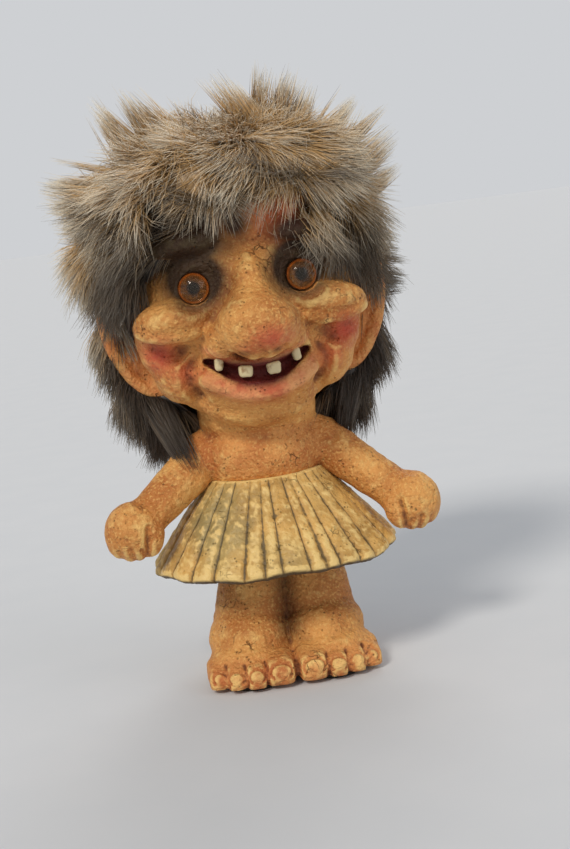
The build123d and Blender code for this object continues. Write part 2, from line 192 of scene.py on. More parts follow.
# %% Helpers: strokes
def path_distance(co, path):
    """How far each point lies from a line of points, both as (x, z) seen from the front."""
    path = np.array(path, dtype=float)
    best = np.full(len(co), np.inf)
    for start, end in zip(path[:-1], path[1:]):
        run = end - start
        share = np.clip((co - start) @ run / (run @ run), 0.0, 1.0)
        best = np.minimum(best, np.linalg.norm(co - start - share[:, None] * run, axis=1))
    return best


def falloff(distance, width):
    """1 on the line, easing to 0 at the width."""
    near = np.clip(1.0 - distance / width, 0.0, 1.0)
    return near * near * (3.0 - 2.0 * near)


def both_sides(path):
    """A path and its mirror image on the figure's other side."""
    return [path, [(-point[0], *point[1:]) for point in path]]


def facing(piece):
    """1 where the skin looks to the front, 0 where it looks away."""
    to_front = -normals_of(piece)[:, 1]
    return np.clip(0.35 + 1.3 * to_front, 0.0, 1.0)


def draw(piece, strokes):
    """Presses strokes (path, width, depth) into the front; a negative depth raises it."""
    co = points_of(piece)
    normal = normals_of(piece)
    mask = facing(piece)
    seen = co[:, [0, 2]]
    pressed = np.zeros(len(co))
    laid_on = np.zeros(len(co))
    for path, width, depth in strokes:
        push = depth * falloff(path_distance(seen, path), width) * mask
        pressed = np.maximum(pressed, push)
        laid_on = np.minimum(laid_on, push)
    put_points(piece, co - normal * (pressed + laid_on)[:, None])


# %% [markdown]
# Old paint is dark in the hollows and bare on the ridges, and the same dark and pale also stand
# in as painted shade in the hollows and painted highlight on the ridges, so the paint has to know
# which is which.
# A renderer may have a node for that, but not every one does. It is measured here instead: the
# skin is softened a lot in a copy, and a point that rises by it lay in a hollow. The number is
# stored on the vertex, where the material can read it.

# %% Helpers: numbers for the paint
def paint_layer(piece, layer, values):
    """Stores one number a vertex for the material to read."""
    attribute = piece.data.attributes.new(layer, "FLOAT", "POINT")
    attribute.data.foreach_set("value", np.clip(values, 0.0, 1.0).astype(np.float32))


def paint_hollows(piece, passes=10, depth=0.55):
    """How deep each point lies below its surroundings: 0.5 is flat, 1 a groove, 0 a ridge."""
    bm = bmesh.new()
    bm.from_mesh(piece.data)
    for _ in range(passes):
        bmesh.ops.smooth_vert(
            bm, verts=bm.verts, factor=0.5, use_axis_x=True, use_axis_y=True, use_axis_z=True
        )
    eased = np.array([vert.co[:] for vert in bm.verts]) / MM
    bm.free()
    sunk = np.sum((eased - points_of(piece)) * normals_of(piece), axis=1)
    paint_layer(piece, "hollow", 0.5 + 0.5 * sunk / depth)


# %% [markdown]
# ## Head, torso and arms
# On the real figure the head, the torso and the two arms are castings that were glued and then
# filled and painted over, so the skin runs on across the joins. They could be sculpted one by
# one, but then each join would show a step. Here all of them are melted together as one lump
# of clay, and cut apart afterwards where the glue lines are.

# %% The lumps of the head
def head_lumps(bm):
    # Skull, jaw, chin and muzzle
    add_lump(bm, (0, 0, 115), (33.5, 32.5, 37))
    add_lump(bm, (0, -4, 97), (28.0, 24, 18))
    add_lump(bm, (0, -14.5, 86), (17, 11.5, 9))
    add_lump(bm, (0, -17.5, 94.5), (20, 14, 12))
    # Jowls, cheeks and the tops of the cheeks
    add_pair(bm, (20.5, -11, 97.0), (9.5, 12, 11))
    add_pair(bm, (23.5, -9, 105.5), (10.0, 14, 12.5))
    add_pair(bm, (20.4, -20.5, 111.0), (13.6, 13.2, 6.6), (-8, 4, 0))
    # Ball of the nose, its wings and its bridge
    add_lump(bm, (0.6, -36.5, 108.2), (12.0, 11.5, 9.6), (-12, 0, 0))
    add_pair(bm, (9.0, -31.0, 105.2), (5.4, 6.5, 5.4))
    add_lump(bm, (0.3, -31.5, 117.0), (5.4, 7.0, 11.5), (-14, 0, 0))
    add_lump(bm, (0.4, -34.6, 113.0), (8.6, 8.0, 6.6), (-24, 0, 0))
    # Brows and forehead
    add_pair(bm, (14.5, -24.0, 133.0), (12.5, 7.0, 4.2), (0, 6, 10))
    add_lump(bm, (0, -16, 138), (26, 15, 13.5))


# %% The lumps of the torso and arms
shoulder = (17.5, 1.0, 68.5)
fist = (42.0, -11.0, 49.4)
fist_drop = {1: 1.8, -1: -1.2}


def fist_at(side, out=0.0, forward=0.0, up=0.0):
    """A point of a hand, from the middle of the fist; the left hand hangs lower."""
    return (side * (fist[0] + out), fist[1] - forward, fist[2] - fist_drop[side] + up)


def body_lumps(bm):
    # Neck and chest, then an arm, a fist and a thumb on each side
    add_lump(bm, (0, 1, 80), (18.2, 16, 11))
    add_lump(bm, (0, 0.5, 67), (18.6, 15.2, 13))
    for side in (1, -1):
        start = (side * shoulder[0], *shoulder[1:])
        end = fist_at(side)
        wrist = Vector(start).lerp(Vector(end), 0.78)
        add_limb(bm, start, wrist, 7.6, 6.4)
        add_limb(bm, wrist, end, 6.4, 7.4, steps=3)
        add_lump(bm, end, (8.8, 8.0, 9.2), (0, -side * 24, 0))
        add_lump(bm, fist_at(side, -5.6, 3.0, -2.5), (3.4, 3.6, 5.6), (0, -side * 18, 0))


body_clay = bmesh.new()
head_lumps(body_clay)
body_lumps(body_clay)
body = to_piece(body_clay, "body_clay")
melt(body, voxel=0.8, passes=7)
print("body clay:", len(body.data.polygons), "faces")

# %% [markdown]
# The mouth and the eye sockets are hollows with an edge. Pressing that deep with a stroke would
# stretch the skin, so a boolean takes them out, and a second melt rounds the new edges. The
# mouth's cutter is a string of lumps along the curve of the grin. Each socket is a wide bowl, and
# in it a round seat in which the glass eye lies.

# %% The grin
grin_half_width = 14.0
grin_corner_z = 98.8
grin_middle_z = 94.0
grin_steps = 10
corner_gape = 0.9
middle_gape = 2.8
grin_front_y = -32.4
grin_curve = 0.036


def grin_z(x):
    """Height of the middle of the open mouth, which curves up to its corners."""
    return grin_middle_z + (grin_corner_z - grin_middle_z) * (x / grin_half_width) ** 2


mouth_cutter = bmesh.new()
for step in range(-grin_steps, grin_steps + 1):
    share = step / grin_steps
    x = grin_half_width * share
    gape = corner_gape + (middle_gape - corner_gape) * (1 - share**2)
    add_lump(mouth_cutter, (x, grin_front_y + grin_curve * x * x, grin_z(x)), (2.0, 4.6, gape))
mouth_shape = to_piece(mouth_cutter, "mouth_cutter")
melt(mouth_shape, voxel=0.6, passes=2)
hollow(body, mouth_shape)
print("with the grin:", len(body.data.polygons), "faces")

# %% The eye sockets
socket_cutter = bmesh.new()
add_pair(socket_cutter, (14.9, -37.4, 121.3), (10.0, 11.0, 9.8))
socket_shape = to_piece(socket_cutter, "socket_cutter")
hollow(body, socket_shape)

eye_back = Vector((15.3, -27.44, 120.0))
eye_turn = math.radians(8)
seat_radius = 4.95
seat_depth = 7.0
seat_behind_eye = 1.0
for side in (1, -1):
    seat_cutter = bmesh.new()
    look = Euler((math.radians(90), 0, side * eye_turn)).to_matrix().to_4x4()
    place = Matrix.Translation(Vector((side * eye_back.x, eye_back.y, eye_back.z)) * MM)
    lift = Matrix.Translation((0, 0, (seat_depth / 2 - seat_behind_eye) * MM))
    bmesh.ops.create_cone(
        seat_cutter,
        cap_ends=True,
        segments=48,
        radius1=seat_radius * MM,
        radius2=seat_radius * MM,
        depth=seat_depth * MM,
        matrix=place @ look @ lift,
    )
    hollow(body, to_piece(seat_cutter, "seat_cutter"))
melt(body, voxel=0.62, passes=4)
print("with mouth and sockets:", len(body.data.polygons), "faces")

# %% [markdown]
# The folds of the grin, the brows, the lips and the creases are drawn with strokes.
# Each is a line seen from the front, with a width and a depth. Negative depths lay on clay.

# %% Folds of the face
def grin_line(lift):
    """A line along the grin, that much above the middle of the open mouth."""
    reach = grin_half_width + 0.5
    return [(x, grin_z(x) + lift) for x in np.linspace(-reach, reach, 9)]


# Strokes in the middle of the face: lower lip, upper lip, chin crease and the dent under the nose
face_strokes = [
    (grin_line(-5.4), 3.6, -2.6),
    (grin_line(3.4), 2.0, -0.8),
    ([(-12, 83.6), (0, 82.0), (12, 83.6)], 2.6, 0.6),
    ([(0.5, 101.0), (0.5, 98.5)], 2.0, 0.7),
]
# Strokes on both sides: smile fold, cheek hollow, rim of the cheek, nostril and brow
folds = [
    ([(16.8, 102.4), (19.0, 99.5), (20.4, 96.0), (20.0, 92.0), (17.5, 88.5)], 3.2, 2.0),
    ([(18.5, 102.6), (24.5, 101.6), (30.5, 103.4)], 4.4, 2.4),
    ([(15.0, 108.0), (20, 106.8), (26.5, 106.8), (32.0, 108.8)], 2.2, -1.3),
    ([(4.4, 100.0), (7.0, 101.0)], 1.9, 1.4),
    ([(5.6, 126.0), (12.5, 132.0), (20.0, 132.6), (26.5, 128.5)], 4.0, -0.7),
]
for path, width, depth in folds:
    face_strokes += [(line, width, depth) for line in both_sides(path)]
draw(body, face_strokes)
settle(body, passes=3)
print("strokes on the face:", len(face_strokes))

# %% [markdown]
# The hands are mittens: a fist with short shallow creases for the fingers and a deeper one beside
# the thumb. Fingers of their own would be finer than the rest of the figure. A last displacement,
# coarse and then fine, leaves the marks of hand work all over.

# %% Knuckles and fingers
finger_pitch = 3.4
hand_strokes = []
for side in (1, -1):
    for number in (-1, 0, 1):
        low = fist_at(side, 0.4 + number * finger_pitch, 0.0, -9.0)
        high = fist_at(side, 1.4 + number * finger_pitch, 0.0, -3.8 - abs(number))
        hand_strokes.append(([low[::2], high[::2]], 1.4, 0.7))
    thumb_top = fist_at(side, -4.6, 0.0, 1.5)
    thumb_low = fist_at(side, -3.2, 0.0, -7.0)
    hand_strokes.append(([thumb_top[::2], thumb_low[::2]], 1.6, 1.0))
draw(body, hand_strokes)
roughen(body, size=7.0, depth=0.9)
roughen(body, size=2.2, depth=0.35)
paint_hollows(body)
print("strokes on the hands:", len(hand_strokes))

# %% [markdown]
# The clay is now cut where the glue lines are: level through the neck, and square to each arm
# at the shoulder. Every cut is closed with a face, so each casting is a closed piece.

# %% Cut the clay into castings
neck_z = 76.0
torso_bottom_z = 61.2
arm_line = (Vector(fist) - Vector(shoulder)).normalized()
arm_cut = Vector(shoulder) + arm_line * 5.0


def mirrored(vector):
    """The same place or direction on the figure's right."""
    return Vector((-vector[0], vector[1], vector[2]))


above_neck = ((0, 0, neck_z), (0, 0, 1))
below_neck = ((0, 0, neck_z), (0, 0, -1))
head = keep_side(body, "head_casting", [above_neck])
torso = keep_side(
    body,
    "torso_casting",
    [
        below_neck,
        ((0, 0, torso_bottom_z), (0, 0, 1)),
        (arm_cut, -arm_line),
        (mirrored(arm_cut), -mirrored(arm_line)),
    ],
)
left_arm = keep_side(body, "left_arm_casting", [below_neck, (arm_cut, arm_line)])
right_arm = keep_side(
    body, "right_arm_casting", [below_neck, (mirrored(arm_cut), mirrored(arm_line))]
)
bpy.data.objects.remove(body)
print("castings:", [casting.name for casting in (head, torso, left_arm, right_arm)])

# %% [markdown]
# ## Ears
# The ears are leaves of casting glued to the sides of the head, with a rolled rim and a hollow
# inside it. A leaf is one flat lump; the rim is a string of small lumps round its edge; the
# hollow is left between them. Only the figure's left ear is made: the right one is its mirror.

# %% The ears
ear_middle = Vector((33.4, 3.2, 106.0))
ear_lean = math.radians(18)
ear_half_width = 7.8
ear_half_height = 18.0
rim_steps = 73
fold_steps = 33


def on_ear(across, up, forward=0.0):
    """A point of the ear from its middle: across and up along the leaf, forward out of it."""
    x = across * math.cos(ear_lean) + up * math.sin(ear_lean)
    z = up * math.cos(ear_lean) - across * math.sin(ear_lean)
    return ear_middle + Vector((x, -forward, z))


ear_clay = bmesh.new()
add_lump(ear_clay, ear_middle, (ear_half_width, 2.6, ear_half_height), (0, math.degrees(ear_lean), 0))
for step in range(rim_steps):
    angle = math.radians(-95 + step * 3)
    thick = 1.7 + 0.5 * math.cos(angle)
    rim_across = 0.93 * ear_half_width * math.cos(angle)
    rim_up = 0.95 * ear_half_height * math.sin(angle)
    add_lump(ear_clay, on_ear(rim_across, rim_up, 1.2), (thick, thick, thick))
# Lobe, the small flap before the ear hole, and the inner fold
add_lump(ear_clay, on_ear(-1.5, -15.5, 0.6), (5.0, 3.0, 5.0))
add_lump(ear_clay, on_ear(-6.5, -3.0, 1.2), (2.6, 3.2, 4.6))
for step in range(fold_steps):
    angle = math.radians(-60 + step * 4)
    fold = on_ear(0.5 * ear_half_width * math.cos(angle), 2.0 + 9.5 * math.sin(angle), 1.0)
    add_lump(ear_clay, fold, (1.5, 1.6, 1.6))
left_ear = to_piece(ear_clay, "left_ear_casting")
melt(left_ear, voxel=0.55, passes=6)
roughen(left_ear, size=5.0, depth=0.5)

right_clay = bmesh.new()
right_clay.from_mesh(left_ear.data)
bmesh.ops.scale(right_clay, vec=(-1, 1, 1), verts=right_clay.verts)
bmesh.ops.recalc_face_normals(right_clay, faces=right_clay.faces)
right_ear = to_piece(right_clay, "right_ear_casting")
print("ears:", len(left_ear.data.polygons), "faces each")

# %% [markdown]
# ## Legs and feet
# Both legs and feet are one stout casting, flat underneath, with four toes on each foot and a
# moulded nail on each toe. Each toe is a box, bevelled round and tipped down, because a lump would
# be too pointed. The grooves between the toes and the rims of the nails are strokes drawn from
# the front.

# %% Helpers: rounded boxes
def add_box(bm, middle, sizes, turn):
    """Adds a box in millimetres, turned about its middle, and gives back its vertices."""
    size = Matrix.Diagonal((*(value * MM for value in sizes), 1.0))
    place = Matrix.Translation(Vector(middle) * MM)
    return bmesh.ops.create_cube(bm, size=1.0, matrix=place @ turn @ size)["verts"]


def round_edges(bm, verts, rounding):
    """Bevels every edge that meets those vertices."""
    edges = list({edge for vert in verts for edge in vert.link_edges})
    bmesh.ops.bevel(
        bm, geom=edges, offset=rounding * MM, segments=4, profile=0.5, affect="EDGES", material=-1
    )


# %% Legs, feet and toes
sole_z = 1.5
hip_z = 44.0
hip_spreads = {1: 8.2, -1: 3.2}
toe_spreads = (4.9, 12.2, 18.2, 23.1)
toe_fronts = (26.6, 26.4, 24.6, 21.4)
toe_widths = (10.2, 7.8, 7.2, 6.2)
toe_heights = (8.6, 7.6, 7.2, 6.8)
toe_length = 14.0
toe_ground = 1.0
toe_roundness = 0.44
toe_droop = Matrix.Rotation(math.radians(14), 4, "X")

leg_clay = bmesh.new()
for side in (1, -1):
    hip = (side * hip_spreads[side], 3.0, 46)
    add_limb(leg_clay, hip, (side * 10.6, 1.0, 11), 9.6, 12.6, steps=10)
# Insteps, balls of the feet, heels, and the web between the legs
add_pair(leg_clay, (11.2, -2.0, 11), (13.0, 14.5, 11))
add_pair(leg_clay, (12.0, -8.5, 5.8), (13.2, 12.5, 7.8))
add_pair(leg_clay, (10.0, 8.0, 6.0), (10.5, 8.0, 8.0))
add_lump(leg_clay, (0, 3.0, 20), (5.0, 6.5, 26))
for side in (1, -1):
    for spread, front, width, height_mm in zip(toe_spreads, toe_fronts, toe_widths, toe_heights):
        middle = (side * spread, toe_length / 2 - front, toe_ground + height_mm / 2)
        made = add_box(leg_clay, middle, (width, toe_length, height_mm), toe_droop)
        round_edges(leg_clay, made, toe_roundness * min(width, height_mm))
legs = to_piece(leg_clay, "leg_clay")
melt(legs, voxel=0.6, passes=6)
print("legs and toes:", len(legs.data.polygons), "faces")

# %% Grooves and nails
nail_half_width = 0.34
nail_middle = 0.56
nail_half_height = 0.30
nail_steps = 13

toe_strokes = []
for side in (1, -1):
    for first, second in zip(range(3), range(1, 4)):
        outer_edge = toe_spreads[first] + toe_widths[first] / 2
        inner_edge = toe_spreads[second] - toe_widths[second] / 2
        x = side * (outer_edge + inner_edge) / 2
        toe_strokes.append(([(x, 0.5), (x, 7.6)], 0.95, 0.9))
    for spread, width, height_mm in zip(toe_spreads, toe_widths, toe_heights):
        nail_z = toe_ground + nail_middle * height_mm
        ring = []
        for step in range(nail_steps):
            angle = math.radians(-40 + step * 21.7)
            x = side * spread + nail_half_width * width * math.cos(angle)
            ring.append((x, nail_z + nail_half_height * height_mm * math.sin(angle)))
        toe_strokes.append((ring, 0.8, 0.8))
toe_strokes.append(([(0, 0.5), (0, 7.0)], 1.3, 0.8))
draw(legs, toe_strokes)
roughen(legs, size=7.0, depth=0.8)
roughen(legs, size=2.0, depth=0.3)
above_sole = ((0, 0, sole_z), (0, 0, 1))
below_hip = ((0, 0, hip_z), (0, 0, -1))
leg_casting = keep_side(legs, "leg_casting_sculpted", [above_sole, below_hip])
bpy.data.objects.remove(legs)
print("leg casting:", len(leg_casting.data.polygons), "faces and", len(toe_strokes), "strokes")

# %% [markdown]
# ## Skirt
# The skirt is moulded, not sewn: a stiff bell with uneven pleats, broad ridges and narrow
# grooves, and a rough hem. It could be extruded ring by ring. Here a plain tube is cut into
# many rings, and then bent as a whole: its upper rings become the bell, the next ones go round
# the hem, and the last ones line the shallow hollow underneath. The pleats move each vertex in
# or out with its angle.

# %% The pleated bell
pleat_count = 30
columns = pleat_count * 12
rings = 70
# Along the tube: share of its length, half width, half depth and height
bell_line = np.array(
    [
        (0.00, 17.3, 14.8, 61.2),
        (0.30, 26.9, 23.9, 49.6),
        (0.68, 36.7, 33.3, 37.2),
        (0.72, 36.9, 33.5, 35.9),
        (0.76, 35.6, 32.2, 34.8),
        (0.82, 31.5, 28.2, 35.3),
        (1.00, 17.6, 14.4, 43.4),
    ]
)
rng = np.random.default_rng(7)
pleat_edges = np.concatenate([[0.0], np.cumsum(rng.uniform(0.60, 1.40, pleat_count))])
pleat_edges *= 2 * math.pi / pleat_edges[-1]
pleat_depths = rng.uniform(0.6, 1.3, pleat_count)
print("pleats:", pleat_count, "of", columns, "columns")

# %% Bend the tube
skirt_clay = bmesh.new()
bmesh.ops.create_cone(
    skirt_clay, cap_ends=False, segments=columns, radius1=1.0, radius2=1.0, depth=1.0
)
uprights = [e for e in skirt_clay.edges if abs(e.verts[0].co.z - e.verts[1].co.z) > 0.5]
bmesh.ops.subdivide_edges(skirt_clay, edges=uprights, cuts=rings, use_grid_fill=True)
skirt = to_piece(skirt_clay, "skirt_casting")

tube = points_of(skirt) * MM
angle = np.arctan2(tube[:, 1], tube[:, 0]) % (2 * math.pi)
along = 0.5 - tube[:, 2]
half_width, half_depth, height = (
    np.interp(along, bell_line[:, 0], bell_line[:, column]) for column in (1, 2, 3)
)
pleat = np.clip(np.searchsorted(pleat_edges, angle, side="right") - 1, 0, pleat_count - 1)
across = (angle - pleat_edges[pleat]) / (pleat_edges[pleat + 1] - pleat_edges[pleat])
ridge = np.sin(math.pi * np.clip(across, 0, 1) ** 1.2) ** 0.45 - 0.75
outside = np.interp(along, [0.0, 0.06, 0.66, 0.74, 0.80, 1.0], [0.5, 1.1, 2.1, 1.9, 0.4, 0.0])
swell = ridge * outside * pleat_depths[pleat]
sway = 0.5 * np.sin(3 * angle + 0.6) + 0.4 * np.sin(5 * angle + 2.0) + 0.35 * np.sin(11 * angle)
hem_share = np.interp(along, [0.3, 0.72, 0.85], [0.0, 1.0, 0.0])
tube[:, 0] = (half_width + swell) * np.cos(angle)
tube[:, 1] = (half_depth + swell) * np.sin(angle)
tube[:, 2] = height + hem_share * (sway + 0.35 * swell)
put_points(skirt, tube)

skirt_close = bmesh.new()
skirt_close.from_mesh(skirt.data)
bmesh.ops.holes_fill(skirt_close, edges=[e for e in skirt_close.edges if e.is_boundary])
bmesh.ops.recalc_face_normals(skirt_close, faces=skirt_close.faces)
skirt_close.to_mesh(skirt.data)
skirt_close.free()
roughen(skirt, size=4.0, depth=0.8)
roughen(skirt, size=1.1, depth=0.35)
print("skirt:", len(skirt.data.polygons), "faces")

# %% [markdown]
# ## Teeth
# Four pegs of tooth hang from the upper edge of the mouth, two broad ones in the middle and a
# narrow one in each corner. Each starts as a box, is tapered and bevelled round, and leans a
# little its own way.

# %% The teeth
# Each tooth: x, height of its middle, y of its front, width, height and lean in degrees
tooth_list = (
    (-11.2, 97.9, -29.6, 2.6, 3.6, 10),
    (-4.1, 95.2, -31.9, 4.2, 3.4, 4),
    (3.9, 95.2, -31.9, 4.2, 3.4, -3),
    (11.0, 98.0, -29.7, 2.6, 3.8, -12),
)
tooth_depth = 4.0
tooth_taper = (0.86, 0.9, 1.0)
tooth_rounding = 0.9

tooth_clay = bmesh.new()
for x, z, front, width, height_mm, lean in tooth_list:
    middle = Vector((x, front + tooth_depth / 2, z))
    turn = Euler((0, math.radians(lean), 0)).to_matrix().to_4x4()
    made = add_box(tooth_clay, middle, (width, tooth_depth, height_mm), turn)
    low = [vert for vert in made if vert.co.z < z * MM]
    about_middle = Matrix.Translation(-middle * MM)
    bmesh.ops.scale(tooth_clay, vec=tooth_taper, verts=low, space=about_middle)
    round_edges(tooth_clay, made, tooth_rounding)
teeth = to_piece(tooth_clay, "teeth_set")
roughen(teeth, size=1.6, depth=0.4)
print("teeth:", len(teeth.data.polygons), "faces")

# %% [markdown]
# ## Paint
# The castings are painted ochre, rubbed with a dark wash that stays in every hollow, and then
# dry-brushed on the ridges. The same dark in the hollows and pale on the ridges is also painted
# shade and painted highlight. Red is dabbed on the nose, cheeks, lips and toes, and black round
# the eyes; painted shade goes under the wig, the fringe and the nose, between the legs and on the
# skirt's underside. Under it all the skin is cracked and pitted. The wash, the cracks and the grain
# are node groups that every casting shares. What goes where is read from numbers that were stored
# on the vertices.

# %% Helpers: nodes
def add_node(tree, kind, inputs=None, **settings):
    """Adds a node, sets its properties, and sets or links its inputs."""
    node = tree.nodes.new(kind)
    for key, value in settings.items():
        setattr(node, key, value)
    for key, value in (inputs or {}).items():
        if isinstance(value, bpy.types.NodeSocket):
            tree.links.new(value, node.inputs[key])
        else:
            node.inputs[key].default_value = value
    return node


def mix(tree, factor, first, second):
    """Mixes two colours and gives back the result's socket."""
    inputs = {0: factor, 6: first, 7: second}
    return add_node(tree, "ShaderNodeMix", inputs, data_type="RGBA").outputs[2]


def maths(tree, operation, first, second, clamp=False):
    """One sum on two numbers, each given as a number or as a socket."""
    inputs = {0: first, 1: second}
    settings = {"operation": operation, "use_clamp": clamp}
    return add_node(tree, "ShaderNodeMath", inputs, **settings).outputs[0]


def ramp(tree, value, low, high, to_low=0.0, to_high=1.0):
    """Maps a value smoothly from one range to another."""
    node = add_node(
        tree,
        "ShaderNodeMapRange",
        {"Value": value, "From Min": low, "From Max": high, "To Min": to_low, "To Max": to_high},
        interpolation_type="SMOOTHSTEP",
    )
    return node.outputs["Result"]


def object_place(tree):
    """Where a point lies on the figure, in metres."""
    return add_node(tree, "ShaderNodeTexCoord").outputs["Object"]


def noise(tree, place, scale, detail):
    """Cloudy noise, with that many clouds to a metre."""
    inputs = {"Vector": place, "Scale": scale, "Detail": detail}
    return add_node(tree, "ShaderNodeTexNoise", inputs).outputs["Fac"]


def emboss(tree, shader, height, strength, distance):
    """Gives the shader a relief; the distance is in metres."""
    inputs = {"Strength": strength, "Distance": distance, "Height": height}
    bump = add_node(tree, "ShaderNodeBump", inputs)
    tree.links.new(bump.outputs["Normal"], shader.inputs["Normal"])


def colour(red, green, blue):
    """A colour as a paint chart gives it, 0 to 255, turned into linear light."""
    chart = [value / 255 for value in (red, green, blue)]
    light = [c / 12.92 if c <= 0.04045 else ((c + 0.055) / 1.055) ** 2.4 for c in chart]
    return (*light, 1.0)


# %% Helpers: groups and materials
FLOAT = "NodeSocketFloat"
COLOUR = "NodeSocketColor"


def new_group(name, inputs, outputs):
    """A shader node group with named sockets."""
    group = bpy.data.node_groups.new(name, "ShaderNodeTree")
    for socket, kind, value in inputs:
        made = group.interface.new_socket(socket, in_out="INPUT", socket_type=kind)
        made.default_value = value
    for socket, kind in outputs:
        group.interface.new_socket(socket, in_out="OUTPUT", socket_type=kind)
    return group, group.nodes.new("NodeGroupInput"), group.nodes.new("NodeGroupOutput")


def use_group(tree, group, inputs):
    """Puts a node group into a material."""
    return add_node(tree, "ShaderNodeGroup", inputs, node_tree=group)


def new_material(name):
    """A material with its node tree and its shader."""
    material = bpy.data.materials.new(name)
    material.use_nodes = True
    return material, material.node_tree, material.node_tree.nodes["Principled BSDF"]


# %% [markdown]
# Old paint breaks into small plates. A Voronoi texture gives the edges of such plates, a noise
# bends them so that none is straight, and a broader noise keeps the cracks to some patches.

# %% Group: cracks
crackle, into, out = new_group(
    "Crackle",
    [("Scale", FLOAT, 300.0), ("Width", FLOAT, 0.06), ("Share", FLOAT, 0.5)],
    [("Crack", FLOAT)],
)
place = object_place(crackle)
wander = add_node(crackle, "ShaderNodeTexNoise", {"Vector": place, "Scale": 420.0, "Detail": 3.0})
bent = add_node(
    crackle,
    "ShaderNodeVectorMath",
    {0: wander.outputs["Color"], 1: (0.0030, 0.0030, 0.0030), 2: place},
    operation="MULTIPLY_ADD",
)
cells = add_node(
    crackle,
    "ShaderNodeTexVoronoi",
    {"Vector": bent.outputs[0], "Scale": into.outputs["Scale"]},
    feature="DISTANCE_TO_EDGE",
)
line = maths(crackle, "DIVIDE", cells.outputs["Distance"], into.outputs["Width"], clamp=True)
line = maths(crackle, "SUBTRACT", 1.0, line)
patches = noise(crackle, place, 110.0, 2.0)
bare = maths(crackle, "SUBTRACT", 0.98, into.outputs["Share"])
shown = ramp(crackle, maths(crackle, "SUBTRACT", patches, bare), -0.06, 0.06)
crackle.links.new(maths(crackle, "MULTIPLY", line, shown), out.inputs["Crack"])
print(crackle.name, "has", len(crackle.nodes), "nodes")

# %% [markdown]
# The cast skin itself is sandy, with pinholes where air bubbles burst. The grain is noise; the
# pinholes are the middles of Voronoi cells, and only some patches have them.

# %% Group: grain
grain, into, out = new_group(
    "Casting grain", [("Scale", FLOAT, 900.0)], [("Height", FLOAT), ("Pits", FLOAT)]
)
place = object_place(grain)
rough = noise(grain, place, into.outputs["Scale"], 6.0)
dots = add_node(grain, "ShaderNodeTexVoronoi", {"Vector": place, "Scale": into.outputs["Scale"]})
holes = ramp(grain, dots.outputs["Distance"], 0.12, 0.30, 1.0, 0.0)
some = noise(grain, place, 260.0, 2.0)
holes = maths(grain, "MULTIPLY", holes, ramp(grain, some, 0.50, 0.68))
level = maths(grain, "SUBTRACT", rough, maths(grain, "MULTIPLY", holes, 0.6))
grain.links.new(level, out.inputs["Height"])
grain.links.new(holes, out.inputs["Pits"])
print(grain.name, "has", len(grain.nodes), "nodes")

# %% [markdown]
# The wash is thin dark paint, wiped off again: it stays where the skin is hollow and in the cracks.
# In the hollows it is also painted shade. Dry brushing is the opposite, pale paint that only touches
# the ridges, and it is also a painted highlight. Both read the same stored depth, made uneven by
# noise.

# %% Group: wash, with painted shade and highlight
wash_and_painted_light, into, out = new_group(
    "Antique wash",
    [
        ("Paint", COLOUR, (0.5, 0.5, 0.5, 1)),
        ("Wash and painted shade", COLOUR, (0.05, 0.03, 0.02, 1)),
        ("Dry brush and painted highlight", COLOUR, (0.8, 0.7, 0.5, 1)),
        ("Hollow", FLOAT, 0.5),
        ("Crack", FLOAT, 0.0),
        ("Brushing", FLOAT, 0.6),
    ],
    [("Colour", COLOUR)],
)
cloud = noise(wash_and_painted_light, object_place(wash_and_painted_light), 170.0, 5.0)
uneven = maths(wash_and_painted_light, "MULTIPLY", maths(wash_and_painted_light, "SUBTRACT", cloud, 0.5), 0.5)
depth = maths(wash_and_painted_light, "ADD", into.outputs["Hollow"], uneven)
# Dark in the hollows and cracks: the wash, and in the hollows also painted shade
dark = maths(wash_and_painted_light, "MULTIPLY", ramp(wash_and_painted_light, depth, 0.54, 0.95), 0.85)
dark = maths(wash_and_painted_light, "MAXIMUM", dark, maths(wash_and_painted_light, "MULTIPLY", into.outputs["Crack"], 0.6))
# Pale on the ridges: dry brushing, and also a painted highlight
high = maths(wash_and_painted_light, "MULTIPLY", ramp(wash_and_painted_light, depth, 0.46, 0.20), into.outputs["Brushing"])
toned = mix(wash_and_painted_light, high, into.outputs["Paint"], into.outputs["Dry brush and painted highlight"])
wash_and_painted_light.links.new(mix(wash_and_painted_light, dark, toned, into.outputs["Wash and painted shade"]), out.inputs["Colour"])
print(wash_and_painted_light.name, "has", len(wash_and_painted_light.nodes), "nodes")

# %% [markdown]
# The flesh is ochre in two broad tones with finer brown and pale specks. Over it go the reds, then
# the wash with its painted shade and the dry brushing with its painted highlight, the pits, the
# inside of the mouth, and last the black paint round the eyes with the painted shade under the wig,
# the fringe and the nose and between the legs. One painted picture could hold all of it, but noise
# and stored numbers stay sharp at any distance.

# %% The painted flesh
def layer(tree, name):
    """A number stored on the vertices."""
    return add_node(tree, "ShaderNodeAttribute", attribute_name=name).outputs["Fac"]


